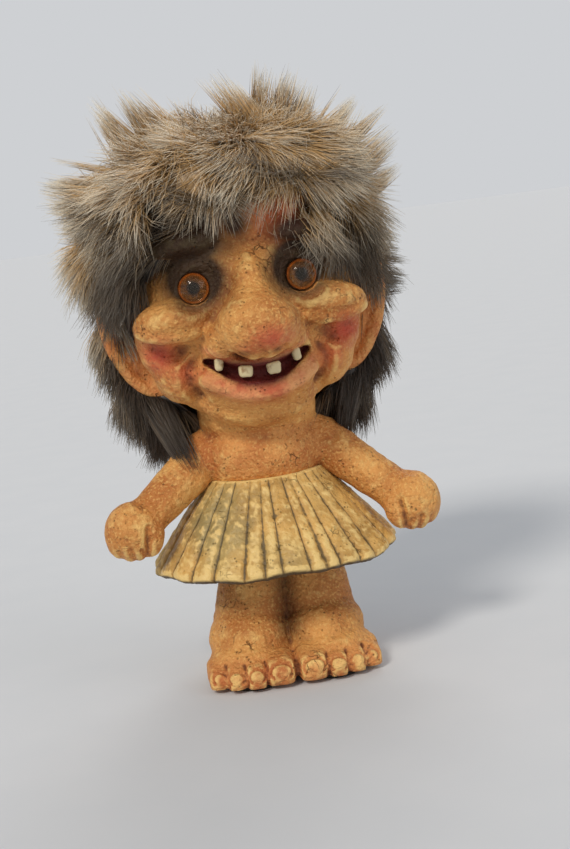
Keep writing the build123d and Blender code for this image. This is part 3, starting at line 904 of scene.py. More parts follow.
flesh, tree, shader = new_material("painted_flesh")
place = object_place(tree)
broad = noise(tree, place, 70.0, 4.0)
fine = noise(tree, place, 620.0, 5.0)
sand = noise(tree, place, 1250.0, 4.0)
ochre = mix(tree, ramp(tree, broad, 0.35, 0.65), colour(186, 116, 56), colour(222, 158, 86))
ochre = mix(tree, ramp(tree, fine, 0.55, 0.75, 0.0, 0.55), ochre, colour(146, 84, 42))
ochre = mix(tree, ramp(tree, sand, 0.50, 0.70, 0.0, 0.55), ochre, colour(244, 196, 116))
red_share = maths(tree, "MULTIPLY", layer(tree, "red"), 0.9)
reddened = mix(tree, red_share, ochre, colour(200, 80, 58))
lip_paint = mix(tree, ramp(tree, broad, 0.4, 0.6), colour(198, 98, 66), colour(228, 140, 98))
lip_share = maths(tree, "MULTIPLY", layer(tree, "lips"), 0.85)
lips = mix(tree, lip_share, reddened, lip_paint)
cracks = use_group(tree, crackle, {"Scale": 300.0, "Width": 0.035, "Share": 0.30})
skin = use_group(tree, grain, {"Scale": 780.0})
painted = maths(tree, "MAXIMUM", layer(tree, "lips"), layer(tree, "red"), clamp=True)
brushed = ramp(tree, painted, 0.0, 1.0, 0.85, 0.30)
# Wash and painted shade in the hollows, dry brushing and painted highlight on the ridges
washed = use_group(
    tree,
    wash_and_painted_light,
    {
        "Paint": lips,
        "Wash and painted shade": colour(98, 48, 28),
        "Dry brush and painted highlight": colour(248, 206, 128),
        "Hollow": layer(tree, "hollow"),
        "Crack": cracks.outputs["Crack"],
        "Brushing": brushed,
    },
)
pit_share = maths(tree, "MULTIPLY", skin.outputs["Pits"], 0.38)
pitted = mix(tree, pit_share, washed.outputs["Colour"], colour(74, 38, 22))
inside = mix(tree, layer(tree, "mouth"), pitted, colour(98, 32, 26))
# Black paint round the eyes, and painted shade under the wig, the fringe and the nose and between the
# legs
blackened_and_shaded = mix(tree, layer(tree, "dark"), inside, colour(19, 13, 10))
tree.links.new(blackened_and_shaded, shader.inputs["Base Color"])
tree.links.new(ramp(tree, fine, 0.3, 0.7, 0.48, 0.68), shader.inputs["Roughness"])
shader.inputs["Specular IOR Level"].default_value = 0.32
crack_depth = maths(tree, "MULTIPLY", cracks.outputs["Crack"], 0.9)
relief = maths(tree, "SUBTRACT", skin.outputs["Height"], crack_depth)
emboss(tree, shader, relief, strength=0.95, distance=0.0012)
print(flesh.name, "has", len(tree.nodes), "nodes")

# %% [markdown]
# The skirt is painted olive. Towards the figure's right, the side of the key lamp, it is greyed as
# painted light that washes the olive out. It takes the same cracks, grain and wash, with painted
# shade and highlight, and its hollow underside has painted shade, a plain dark brown. The teeth are
# ivory with brown stains.

# %% The painted skirt
moss, tree, shader = new_material("painted_skirt")
place = object_place(tree)
broad = noise(tree, place, 90.0, 4.0)
olive = mix(tree, ramp(tree, broad, 0.35, 0.65), colour(172, 130, 64), colour(214, 168, 92))
# Painted light: greyer towards the figure's right, the key lamp's side, as if the light washed the
# olive out
light_washout_patches = ramp(tree, noise(tree, place, 38.0, 3.0), 0.42, 0.60)
across = add_node(tree, "ShaderNodeSeparateXYZ", {"Vector": place}).outputs["X"]
towards_right = ramp(tree, across, 0.030, -0.030, 0.05, 0.60)
light_washout_share = maths(tree, "MULTIPLY", light_washout_patches, towards_right)
olive = mix(tree, light_washout_share, olive, colour(146, 142, 98))
cracks = use_group(tree, crackle, {"Scale": 300.0, "Width": 0.04, "Share": 0.32})
skin = use_group(tree, grain, {"Scale": 800.0})
# Wash and painted shade in the grooves, dry brushing and painted highlight on the ridges of the
# pleats
washed = use_group(
    tree,
    wash_and_painted_light,
    {
        "Paint": olive,
        "Wash and painted shade": colour(66, 54, 30),
        "Dry brush and painted highlight": colour(232, 198, 126),
        "Hollow": layer(tree, "hollow"),
        "Crack": cracks.outputs["Crack"],
        "Brushing": 0.9,
    },
)
pit_share = maths(tree, "MULTIPLY", skin.outputs["Pits"], 0.55)
pitted = mix(tree, pit_share, washed.outputs["Colour"], colour(62, 56, 34))
# Painted shade: the underside of the skirt is a plain dark brown
under = mix(tree, layer(tree, "under"), pitted, colour(84, 66, 40))
tree.links.new(under, shader.inputs["Base Color"])
tree.links.new(ramp(tree, skin.outputs["Height"], 0.3, 0.7, 0.42, 0.64), shader.inputs["Roughness"])
crack_depth = maths(tree, "MULTIPLY", cracks.outputs["Crack"], 0.8)
relief = maths(tree, "SUBTRACT", skin.outputs["Height"], crack_depth)
emboss(tree, shader, relief, strength=0.8, distance=0.0007)
print(moss.name, "has", len(tree.nodes), "nodes")

# %% The painted teeth
ivory, tree, shader = new_material("tooth_paint")
stain = noise(tree, object_place(tree), 420.0, 4.0)
stained = ramp(tree, stain, 0.52, 0.72, 0.0, 0.8)
chipped = mix(tree, stained, colour(214, 198, 154), colour(146, 106, 62))
tree.links.new(chipped, shader.inputs["Base Color"])
shader.inputs["Roughness"].default_value = 0.45
emboss(tree, shader, stain, strength=0.4, distance=0.0003)
print(ivory.name, "has", len(tree.nodes), "nodes")

# %% [markdown]
# Red and black are dabbed on by place. A dab is a centre seen from the front and two radii; a
# line is a path and a width. The head gets most of them: rouge on the cheeks, the nose and the
# forehead, lip paint along the grin, dark red in the mouth, black paint round the eyes, and painted
# shade under the nose, at the temples, under the fringe and under the wig.

# %% Helpers: dabs
def dabs(piece, spots, lines=()):
    """Adds up dabs (x, z, half width, half height, strength) and lines on the front."""
    co = points_of(piece)[:, [0, 2]]
    total = np.zeros(len(co))
    for x, z, half_wide, half_high, strength in spots:
        reach = np.hypot((co[:, 0] - x) / half_wide, (co[:, 1] - z) / half_high)
        total = np.maximum(total, strength * falloff(reach, 1.0))
    for path, width, strength in lines:
        total = np.maximum(total, strength * falloff(path_distance(co, path), width))
    return total * facing(piece)


def pair_of_dabs(x, *rest):
    """The same dab on both sides."""
    return [(x, *rest), (-x, *rest)]


# %% Paint on the head
rouge = [
    *pair_of_dabs(27, 102.0, 10, 9.0, 1.0),
    *pair_of_dabs(21, 96, 8, 9, 0.7),
    (3.5, 104.6, 11.0, 6.5, 0.9),
    (-3.0, 102.6, 8.0, 4.0, 0.5),
    (0, 87, 14, 5, 0.3),
    (11, 137, 20, 12, 0.8),
]
lip_lines = [(grin_line(-5.2), 4.6, 1.5), (grin_line(3.2), 2.0, 0.8)]
# Black paint round the eyes, painted shade under the nose, and at the temples and brows the fringe's
# painted shade over black paint
soot_and_painted_shade = [
    *pair_of_dabs(14.8, 122.6, 14.5, 14.5, 1.9),
    *pair_of_dabs(4.6, 101.0, 2.6, 1.6, 0.7),
    (-19.0, 135.0, 25.0, 20.0, 1.9),
    (27.0, 136.0, 15.0, 15.0, 1.5),
    (15.0, 132.5, 14.0, 8.0, 1.3),
]
# Painted shadow of the fringe: a wedge down to the brows and a band along the hairline
fringe_shadow_lines = [
    ([(-9.0, 148.0), (-2.0, 136.0)], 8.0, 1.1),
    ([(-14.0, 147.0), (16.0, 148.0)], 9.0, 0.9),
]
paint_layer(head, "red", dabs(head, rouge))
paint_layer(head, "lips", dabs(head, [], lip_lines))

head_x, head_y, head_z = points_of(head).T
gape_x = np.clip(1 - (head_x / (grin_half_width + 1.5)) ** 2, 0, 1)
in_gape = falloff(np.abs(head_z - grin_z(head_x)), 1.6 + 3.6 * gape_x)
lip_y = -34.6 + 0.04 * head_x**2
sunk_in = np.clip((head_y - lip_y) / 1.5, 0, 1) * (head_y < -20) * (gape_x > 0)
paint_layer(head, "mouth", 2.5 * sunk_in * in_gape)

# Painted shade on the skin where the sides of the wig hang over it
under_wig = np.clip((np.abs(head_x) - 19) / 5, 0, 1) * np.clip((head_z - 126) / 5, 0, 1)
soot_and_shade = np.maximum(np.clip(dabs(head, soot_and_painted_shade, fringe_shadow_lines), 0.0, 1.0), under_wig)
paint_layer(head, "dark", 0.94 * soot_and_shade)
print("dabs on the head:", len(rouge) + len(soot_and_painted_shade))

# %% Paint on the other castings
def paint_all(casting, layer_name, strength):
    """The same strength all over a casting."""
    paint_layer(casting, layer_name, np.full(len(casting.data.vertices), strength))


for casting in (torso, left_arm, right_arm, left_ear, right_ear, leg_casting):
    paint_all(casting, "lips", 0.0)
    paint_all(casting, "mouth", 0.0)
for casting in (torso, left_arm, right_arm, left_ear, right_ear):
    paint_all(casting, "dark", 0.0)
paint_all(torso, "red", 0.12)
for ear in (left_ear, right_ear):
    paint_all(ear, "red", 0.3)
for arm in (left_arm, right_arm):
    fist_share = np.clip((48 - points_of(arm)[:, 2]) / 8, 0, 1)
    paint_layer(arm, "red", 0.18 * fist_share)

# Painted shade down the groove between the legs
painted_shade_between_legs = [([(0.6, 46.0), (0.3, 14.0)], 6.5, 0.62)]
paint_layer(leg_casting, "dark", dabs(leg_casting, [], painted_shade_between_legs))
leg_co = points_of(leg_casting)
toe_share = np.clip((-10 - leg_co[:, 1]) / 8, 0, 1) * np.clip((11 - leg_co[:, 2]) / 5, 0, 1)
paint_layer(leg_casting, "red", 0.30 * toe_share)
# Painted shade on the skirt's underside, where it looks down
looks_down = np.clip(-normals_of(skirt)[:, 2] * 1.5, 0, 1)
paint_layer(skirt, "under", looks_down * (points_of(skirt)[:, 2] < 44))

for casting in (left_ear, right_ear, leg_casting):
    paint_hollows(casting)
paint_hollows(skirt, depth=0.32)
print("points with red toes:", int((toe_share > 0.5).sum()))

# %% [markdown]
# Each casting now takes the place of its node of the CAD model, which is hidden. It rides on the
# figure's one body and wears its material.

# %% Tie the castings to the frame
def finish_piece(piece, node, material):
    """Ties a finished piece to the frame: it rides on the body and stands for a CAD node."""
    piece.data.polygons.foreach_set("use_smooth", [True] * len(piece.data.polygons))
    piece.data.materials.clear()
    piece.data.materials.append(material)
    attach(piece, "root")
    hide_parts(node)
    print(piece.name, "has", len(piece.data.polygons), "faces")


castings = (
    (head, "head", "flesh", flesh),
    (torso, "torso", "flesh", flesh),
    (left_arm, "left_arm", "flesh", flesh),
    (right_arm, "right_arm", "flesh", flesh),
    (left_ear, "left_ear", "flesh", flesh),
    (right_ear, "right_ear", "flesh", flesh),
    (leg_casting, "leg_casting", "flesh", flesh),
    (skirt, "skirt", "skirt_paint", moss),
    (teeth, "teeth", "tooth_paint", ivory),
)
for casting, node, slot, material in castings:
    finish_piece(casting, node, material)

# %% [markdown]
# ## Eyes and the pieces inside
# The glass eyes are right as the CAD model has them: a clear dome, a brown back and a black
# pupil. They stay and get their materials, and so do the wooden dowel and pegs, the wires, the
# plaster, the hide and the felt, which is dark also to stand in for the shadow under the toes.

# %% Materials for the CAD pieces
def give(node, material):
    """Puts a material on a CAD piece that stays."""
    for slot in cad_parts[node].material_slots:
        slot.link = "OBJECT"
        slot.material = material


def speckled(name, first, second, scale, roughness, stretch=(1, 1, 1), relief=0.3):
    """A matt material of two tones, broken up by noise."""
    material, tree, shader = new_material(name)
    mapping = {"Vector": object_place(tree), "Scale": stretch}
    cloud = noise(tree, add_node(tree, "ShaderNodeMapping", mapping).outputs[0], scale, 6.0)
    toned = mix(tree, ramp(tree, cloud, 0.35, 0.65), first, second)
    tree.links.new(toned, shader.inputs["Base Color"])
    shader.inputs["Roughness"].default_value = roughness
    emboss(tree, shader, cloud, strength=relief, distance=0.0003)
    return material


beech = speckled("beech", colour(196, 160, 112), colour(168, 126, 80), 260.0, 0.6, (6, 6, 0.5))
plaster = speckled("plaster", colour(222, 216, 204), colour(202, 194, 180), 500.0, 0.8)
# The felt sole is dark, and also stands in for the shadow under the toes
felt = speckled("felt", colour(38, 34, 30), colour(58, 52, 46), 1400.0, 0.95, relief=0.8)
suede = speckled("suede", colour(70, 52, 40), colour(44, 32, 26), 700.0, 0.9, relief=0.6)
wire = speckled("wire", colour(150, 150, 148), colour(110, 108, 104), 900.0, 0.35)
wire.node_tree.nodes["Principled BSDF"].inputs["Metallic"].default_value = 1.0
print("materials so far:", len(bpy.data.materials))

# %% [markdown]
# The flat back of each eye is painted: a soft black pupil, a brown iris, an amber rim and a dark
# line round it. The rings are measured from the middle of each eye, so one material serves both
# eyes, and the pupil and the iris too. The glass bends light, but lets the lamps straight
# through: otherwise the paint behind it would lie in the shadow of the glass.

# %% The painted eye
eye_middle = (eye_back[0] * MM, 0.0, eye_back[2] * MM)
# Where one ring of paint begins to turn into the next and where it ends, in metres
pupil_edge = (0.0012, 0.0021)
rim_edge = (0.0029, 0.0037)
limb_edge = (0.0037, 0.0042)


def vector_maths(tree, operation, *values):
    """One sum on vectors, with all that it gives."""
    inputs = dict(enumerate(values))
    return add_node(tree, "ShaderNodeVectorMath", inputs, operation=operation).outputs


eye_paint, tree, shader = new_material("eye_paint")
place = object_place(tree)
same_side = vector_maths(tree, "ABSOLUTE", place)[0]
from_middle = vector_maths(tree, "SUBTRACT", same_side, eye_middle)[0]
flat = vector_maths(tree, "MULTIPLY", from_middle, (1.0, 0.0, 1.0))[0]
ring = vector_maths(tree, "LENGTH", flat)["Value"]
fleck_share = ramp(tree, noise(tree, place, 1500.0, 3.0), 0.35, 0.65)
brown = mix(tree, fleck_share, colour(54, 36, 16), colour(92, 63, 28))
round_pupil = mix(tree, ramp(tree, ring, *pupil_edge), colour(6, 5, 4), brown)
rim_light = mix(tree, ramp(tree, ring, *rim_edge), round_pupil, colour(122, 70, 28))
limb = mix(tree, ramp(tree, ring, *limb_edge), rim_light, colour(30, 18, 10))
tree.links.new(limb, shader.inputs["Base Color"])
shader.inputs["Roughness"].default_value = 0.5
shader.inputs["Specular IOR Level"].default_value = 0.1
print(eye_paint.name, "has", len(tree.nodes), "nodes")

# %% The glass, and dressing the CAD pieces
glass_tint = colour(244, 230, 206)
glass, tree, shader = new_material("eye_glass")
shader.inputs["Base Color"].default_value = glass_tint
shader.inputs["Roughness"].default_value = 0.07
shader.inputs["IOR"].default_value = 1.32
shader.inputs["Transmission Weight"].default_value = 1.0
from_lamp = add_node(tree, "ShaderNodeLightPath").outputs["Is Shadow Ray"]
clear = add_node(tree, "ShaderNodeBsdfTransparent", {"Color": glass_tint}).outputs[0]
lit_glass = add_node(tree, "ShaderNodeMixShader", {0: from_lamp, 1: shader.outputs[0], 2: clear})
tree.links.new(lit_glass.outputs[0], tree.nodes["Material Output"].inputs["Surface"])

for side in ("left", "right"):
    give(f"{side}_eye_glass", glass)
    give(f"{side}_eye_iris", eye_paint)
    give(f"{side}_eye_pupil", eye_paint)
    give(f"{side}_eye_wire", wire)
give("spine_dowel", beech)
give("arm_pegs", beech)
give("ballast_plugs", plaster)
give("felt_sole", felt)
give("wig_hide", suede)
print("CAD pieces dressed")

# %% [markdown]
# ## Fur wig
# The wig is cut from long-haired pelt: a thick dark under-fur with longer hairs over it, whose
# tips are frosted on the crown and the fringe and dark round the neck. A particle system would
# grow it, but hair particles are lost when the figure leaves Blender. Here the under-fur is clay
# like the rest, hollowed by the skull. Its seams are the seams of the pelt.

# %% The under-fur
skull_middle = np.array((0.0, 0.0, 115.0))
skull_reach = np.array((35.2, 34.2, 38.6))

fur_clay = bmesh.new()
add_lump(fur_clay, (0, 5, 117), (39.5, 36, 42))
add_lump(fur_clay, (-1, 7, 130), (41.5, 37.5, 35))
add_lump(fur_clay, (-4, -17, 148.5), (33, 18, 11.5), (0, -6, 0))
add_pair(fur_clay, (32.0, 15, 98), (8, 16, 24), (0, 12, 0))
add_lump(fur_clay, (0, 21, 95), (29, 18, 24))
under_fur = to_piece(fur_clay, "under_fur")
melt(under_fur, voxel=1.4, passes=6)

face_cutter = bmesh.new()
add_lump(face_cutter, skull_middle, skull_reach)
add_lump(face_cutter, (0, -6, 96), (27, 25, 20))
add_lump(face_cutter, (0, 1, 74), (21, 19, 20))
add_lump(face_cutter, (3, -46, 107), (37, 45, 35), (0, 4, 0))
add_pair(face_cutter, (35, -15, 100), (16, 20.5, 24))
face_space = to_piece(face_cutter, "face_space")
melt(face_space, voxel=1.2, passes=3)
hollow(under_fur, face_space)
melt(under_fur, voxel=1.3, passes=3)
print("under-fur:", len(under_fur.data.polygons), "faces")

# %% [markdown]
# Each hair is a line of a few points. It starts on the under-fur, leaves it with some lift, and
# is combed away from a whorl on the crown. The fringe is combed apart to the two sides. Below the
# crown the weight of the hair turns it down. First the rules for one hair, worked out for all
# hairs at once.

# %% Where hairs grow
hair_rng = np.random.default_rng(1890)
least_outward = -0.35
least_above_hide = 1.04


def ease(value, low, high):
    """0 below the low end, 1 above the high end, smooth between."""
    share = np.clip((value - low) / (high - low), 0.0, 1.0)
    return share * share * (3.0 - 2.0 * share)


def unit(vectors):
    """The same directions, each one long."""
    return vectors / np.maximum(np.linalg.norm(vectors, axis=1, keepdims=True), 1e-9)


def sow(piece, count):
    """Random roots on the outer side of the under-fur, with their normals."""
    piece.data.calc_loop_triangles()
    corners = np.empty(len(piece.data.loop_triangles) * 3, dtype=np.int32)
    piece.data.loop_triangles.foreach_get("vertices", corners)
    corners = points_of(piece)[corners.reshape(-1, 3)]
    normal = np.cross(corners[:, 1] - corners[:, 0], corners[:, 2] - corners[:, 0])
    area = np.linalg.norm(normal, axis=1)
    middle = corners.mean(axis=1)
    outward = np.sum(unit(normal) * unit(middle - skull_middle), axis=1)
    above_hide = np.linalg.norm((middle - skull_middle) / skull_reach, axis=1)
    area[(outward < least_outward) | (above_hide < least_above_hide)] = 0.0
    chosen = hair_rng.choice(len(area), count, p=area / area.sum())
    first, second = hair_rng.random((2, count))
    folded = first + second > 1
    first[folded], second[folded] = 1 - first[folded], 1 - second[folded]
    start, along, across = corners[chosen, 0], corners[chosen, 1], corners[chosen, 2]
    root = start + first[:, None] * (along - start) + second[:, None] * (across - start)
    return root, unit(normal[chosen])


# %% How hairs are combed
whorl = np.array((6.0, 22.0, 165.0))
parting_x = 3.0
tousle_waves = 5


def comb(root, normal):
    """The direction in which the hair at each root is combed, along the pelt."""
    away = root - whorl
    flow = unit(away - normal * np.sum(away * normal, axis=1, keepdims=True))
    in_fringe = ease(-root[:, 1], 2.0, 22.0) * ease(root[:, 2], 118.0, 134.0)
    apart = np.tanh((root[:, 0] - parting_x) / 15.0)
    apart = np.where(apart < 0, 2.2 * apart, 0.9 * apart)
    flow[:, 0] += in_fringe * apart
    flow[:, 2] -= 0.7 * ease(-root[:, 2], -140.0, -110.0)
    low = ease(-root[:, 2], -100.0, -82.0)
    flow[:, 0] -= 0.5 * low * np.sign(root[:, 0])
    return unit(flow)


def tousle(root):
    """A slow turn of direction from place to place, as in fur that was stroked both ways."""
    turned = np.zeros(root.shape)
    for wave in range(tousle_waves):
        heading = unit(hair_rng.normal(0.0, 1.0, (1, 3)))[0]
        reach = hair_rng.uniform(9.0, 24.0)
        swing = hair_rng.normal(0.0, 1.0, 3)
        turned += swing * np.sin(2.0 * math.pi * (root @ heading) / reach + 1.3 * wave)[:, None]
    return turned / math.sqrt(tousle_waves)


# %% How one hair runs
hair_points = 4
root_depth = 0.8
tousle_share = 1.8


def keep_off_skull(points):
    """Moves points that lie in the skull out to the hide."""
    scaled = (points - skull_middle) / skull_reach
    depth = np.linalg.norm(scaled, axis=1, keepdims=True)
    return np.where(depth < 1.0, skull_middle + skull_reach * scaled / depth, points)


def grow(root, normal, length, lift, droop, unruly):
    """The points of every hair, from root to tip."""
    flow = comb(root, normal)
    flow += tousle(root) * (tousle_share * unruly)[:, None]
    stray = hair_rng.normal(0.0, 1.0, root.shape)
    place = root - normal * root_depth
    line = [place]
    for step in range(hair_points - 1):
        share = step / (hair_points - 2)
        heading = flow + normal * (lift * (1.0 - 0.65 * share))[:, None]
        heading[:, 2] -= droop * share
        heading = unit(heading + stray * unruly[:, None] * (0.4 + share))
        place = keep_off_skull(place + heading * (length / (hair_points - 1))[:, None])
        line.append(place)
    return np.stack(line, axis=1)


# %% How hairs differ from place to place
def habits(root):
    """Length, lift, droop and unruliness of the hairs, by where they grow."""
    count = len(root)
    top = ease(root[:, 2], 128.0, 152.0)
    low = ease(-root[:, 2], -112.0, -84.0)
    fringe = ease(-root[:, 1], 8.0, 24.0) * ease(root[:, 2], 120.0, 134.0)
    middle = fringe * falloff(np.abs(root[:, 0] + 2.0), 16.0)
    crown = top * (1.0 - 0.6 * fringe)
    length = 18.0 + 3.0 * fringe - 6.0 * middle - 3.0 * low - 2.0 * crown
    lift = 0.45 + 0.20 * crown - 0.20 * fringe + 0.15 * low
    droop = 0.40 + 0.25 * (1 - top) - 0.2 * fringe
    unruly = 0.20 + 0.30 * crown
    length *= hair_rng.uniform(0.5, 1.15, count)
    lift *= hair_rng.uniform(0.4, 1.5, count)
    return length, lift, droop, unruly


# %% [markdown]
# Real fur falls into locks, and this wig also has tufts that stand up. Some hairs are grown first
# as leaders, and every other hair leans towards the nearest leader, more so at its tip. A tuft has
# a tip and a base that are listed, and gathers most of the hairs that grow near its base.

# %% Locks and tufts
hair_count = 66000
leader_count = 1800
tuft_share = 0.66
# Each tuft: its tip, the middle of its base, and how far its base reaches
tufts = (
    ((-36.0, 0.0, 177.0), (-27.0, 2.0, 160.0), 6.5),
    ((-24.5, 4.0, 178.0), (-16.0, 6.0, 164.0), 6.0),
    ((0.5, 0.0, 180.0), (13.0, 0.0, 165.0), 7.0),
    ((17.0, 4.0, 179.0), (15.0, 8.0, 165.0), 6.5),
    ((25.0, 6.0, 175.5), (20.0, 10.0, 163.0), 7.5),
    ((40.0, 4.0, 169.0), (31.0, 4.0, 156.0), 7.5),
    ((50.0, 4.0, 161.0), (37.0, 4.0, 149.0), 8.0),
    ((51.0, 6.0, 151.0), (39.0, 6.0, 143.0), 7.0),
    ((-51.5, -1.0, 155.0), (-36.0, 0.0, 150.0), 9.0),
    ((-50.0, -5.0, 145.0), (-38.0, -4.0, 142.0), 8.0),
    ((51.0, 9.0, 126.0), (40.0, 8.0, 126.0), 7.5),
    ((51.5, 9.0, 116.0), (40.0, 10.0, 116.0), 8.0),
    ((-49.0, 8.0, 122.0), (-40.0, 8.0, 126.0), 8.0),
    ((-47.0, 9.0, 103.0), (-38.0, 12.0, 110.0), 8.0),
    ((-23.0, -11.0, 69.0), (-31.0, 2.0, 88.0), 7.0),
    ((26.0, -2.0, 69.0), (31.0, 6.0, 86.0), 7.0),
    ((-12.0, 39.0, 167.0), (-10.0, 30.0, 156.0), 6.0),
    ((26.0, 45.0, 150.0), (20.0, 35.0, 144.0), 6.0),
)

print("tufts:", len(tufts))

# %% Grow the hairs and gather them
root, normal = sow(under_fur, hair_count)
length, lift, droop, unruly = habits(root)
hairs = grow(root, normal, length, lift, droop, unruly)

leads = hairs[:leader_count]
leader_tree = KDTree(leader_count)
for index, place in enumerate(root[:leader_count]):
    leader_tree.insert(place, index)
leader_tree.balance()
nearest = np.array([leader_tree.find(place)[1] for place in root])
along = np.linspace(0.0, 1.0, hair_points)
pull = (0.55 * along**1.4)[None, :, None] * hair_rng.uniform(0.35, 1.0, hair_count)[:, None, None]
spread = root - root[nearest]
hairs += pull * (leads[nearest] + 0.35 * spread[:, None, :] - hairs)

for tip, base, tuft_spread in tufts:
    base = root[np.argmin(np.linalg.norm(root - base, axis=1))]
    near = np.linalg.norm(root - base, axis=1)
    joins = (near < tuft_spread) & (hair_rng.random(hair_count) < tuft_share)
    reach = hair_rng.uniform(0.45, 1.02, joins.sum())[:, None, None]
    ray = (np.array(tip) - base)[None, None, :] * reach
    straight = root[joins][:, None, :] + ray * along[None, :, None]
    narrowing = (base - root[joins])[:, None, :] * (0.5 * along**1.2)[None, :, None]
    hairs[joins] = straight + narrowing + (hairs[joins] - root[joins][:, None, :]) * 0.25
print("hairs:", hair_count, "in", leader_count, "locks")

# %% [markdown]
# The tone of a hair is one number: 0 is dark from root to tip, 1 is brown with a frosted tip. It
# goes into the first coordinate of the hair's UV map, and the way from root to tip into the second,
# so the fur's colour can be read from the map alone.

# %% Tone of each hair
dark_share = 0.08
silver_share = 0.16
least_tone = 0.03
most_tone = 0.97

frosted = ease(root[:, 2], 112.0, 138.0)
right_cheek = ease(-root[:, 0], 26.0, 38.0) * ease(root[:, 2], 82.0, 104.0)
frosted = np.maximum(frosted, 0.65 * right_cheek)
# Painted shade: hairs on the underside and on the inner rim by the face lose their frost and stay
# dark; the under-fur there is dark, and this also paints the shade under the fringe and inside the
# wig
shaded_underside = ease(-normal[:, 2], 0.05, 0.5)
shaded_inner_rim = ease(-normal[:, 1], 0.15, 0.5) * ease(-root[:, 2], -144.0, -132.0)
frosted *= 1.0 - 0.85 * np.maximum(shaded_underside, shaded_inner_rim)
base_tone = 0.03 + 0.22 * (1.0 - shaded_inner_rim) * hair_rng.random(hair_count)
tone = frosted * hair_rng.uniform(0.42, 0.88, hair_count) + base_tone
tone = np.clip(tone, least_tone, most_tone)
tone = np.where(hair_rng.random(hair_count) < dark_share, 0.25 * tone, tone)
silver = hair_rng.random(hair_count) < silver_share
silvered = np.clip(tone + 0.35 * frosted, least_tone, most_tone)
tone = np.where(silver, silvered, tone)
print("frosted share:", round(float((tone > 0.5).mean()), 2))

# %% [markdown]
# Now the lines become hairs. They are poly-curves with a three-sided profile, thick at the root and
# thin at the tip, turned into a mesh. The under-fur of a pelt piece and its hairs, some thousands to
# an object, together stand for that piece in the CAD model.

# %% From lines to hairs
hair_radius = 0.105
hair_taper = np.array((1.0, 1.0, 0.75, 0.18))
profile_turns = (90, 210, 330)

profile_data = bpy.data.curves.new("hair_profile", "CURVE")
profile_line = profile_data.splines.new("POLY")
profile_line.points.add(len(profile_turns) - 1)
for point, turn in zip(profile_line.points, profile_turns):
    point.co = (math.cos(math.radians(turn)), math.sin(math.radians(turn)), 0.0, 1.0)
profile_line.use_cyclic_u = True
hair_profile = bpy.data.objects.new("hair_profile", profile_data)
bpy.context.scene.collection.objects.link(hair_profile)


def hairs_to_piece(lines, name):
    """Poly-curves with a tapered three-sided profile, as a closed mesh."""
    data = bpy.data.curves.new(name, "CURVE")
    data.dimensions = "3D"
    data.bevel_mode = "OBJECT"
    data.bevel_object = hair_profile
    four = np.ones((hair_points, 4))
    for line in lines:
        spline = data.splines.new("POLY")
        spline.points.add(hair_points - 1)
        four[:, :3] = line * MM
        spline.points.foreach_set("co", four.ravel())
        spline.points.foreach_set("radius", hair_taper * hair_radius * MM)
    holder = bpy.data.objects.new(name, data)
    bpy.context.scene.collection.objects.link(holder)
    graph = bpy.context.evaluated_depsgraph_get()
    mesh = bpy.data.meshes.new_from_object(holder.evaluated_get(graph))
    bpy.data.objects.remove(holder)
    strands = bmesh.new()
    strands.from_mesh(mesh)
    bpy.data.meshes.remove(mesh)
    bmesh.ops.edgeloop_fill(strands, edges=[edge for edge in strands.edges if edge.is_boundary])
    bmesh.ops.recalc_face_normals(strands, faces=strands.faces)
    return to_piece(strands, name)


# %% The fur of one pelt piece
hairs_an_object = 9000
tone_width = 0.012
sides = len(profile_turns)


def map_tone(piece, across, upward):
    """Writes tone and way from root to tip, one of each a vertex, as the piece's UV map."""
    corner = np.empty(len(piece.data.loops), dtype=np.int32)
    piece.data.loops.foreach_get("vertex_index", corner)
    uv_map = piece.data.uv_layers.active or piece.data.uv_layers.new()
    uv_map.name = "OFBake"
    uv_map.uv.foreach_set("vector", np.stack([across[corner], upward[corner]], axis=1).ravel())


def fur_pieces(node, cuts, grows_here):
    """Under-fur cut from the pelt, and its hairs in objects of some thousands."""
    pelt = keep_side(under_fur, node + "_pelt", cuts)
    pelt_top = ease(points_of(pelt)[:, 2], 128.0, 148.0)
    matted = hair_rng.uniform(0.0, 1.0, len(pelt_top))
    pelt_tone = 0.05 + pelt_top * (0.35 + 0.35 * matted)
    pelt_way = 0.02 + pelt_top * (0.20 + 0.25 * matted)
    map_tone(pelt, pelt_tone, pelt_way)
    made = [pelt]
    here = np.flatnonzero(grows_here)
    batches = np.array_split(here, math.ceil(len(here) / hairs_an_object))
    for number, some in enumerate(batches, 1):
        locks = hairs_to_piece(hairs[some], f"{node}_locks_{number}")
        ring = np.tile(np.array((-1.0, 0.0, 1.0)) * tone_width, hair_points * len(some))
        hair_tone = np.repeat(tone[some], hair_points * sides) + ring
        root_to_tip = np.tile(np.repeat(along, sides), len(some))
        map_tone(locks, hair_tone, root_to_tip)
        made.append(locks)
    return made


# %% [markdown]
# One finish serves all the fur. It runs from root to tip twice, once for a dark hair and once for
# a brown hair with a frosted tip, and the tone decides between the two. The tips are glossier than
# the roots, as guard hairs are.

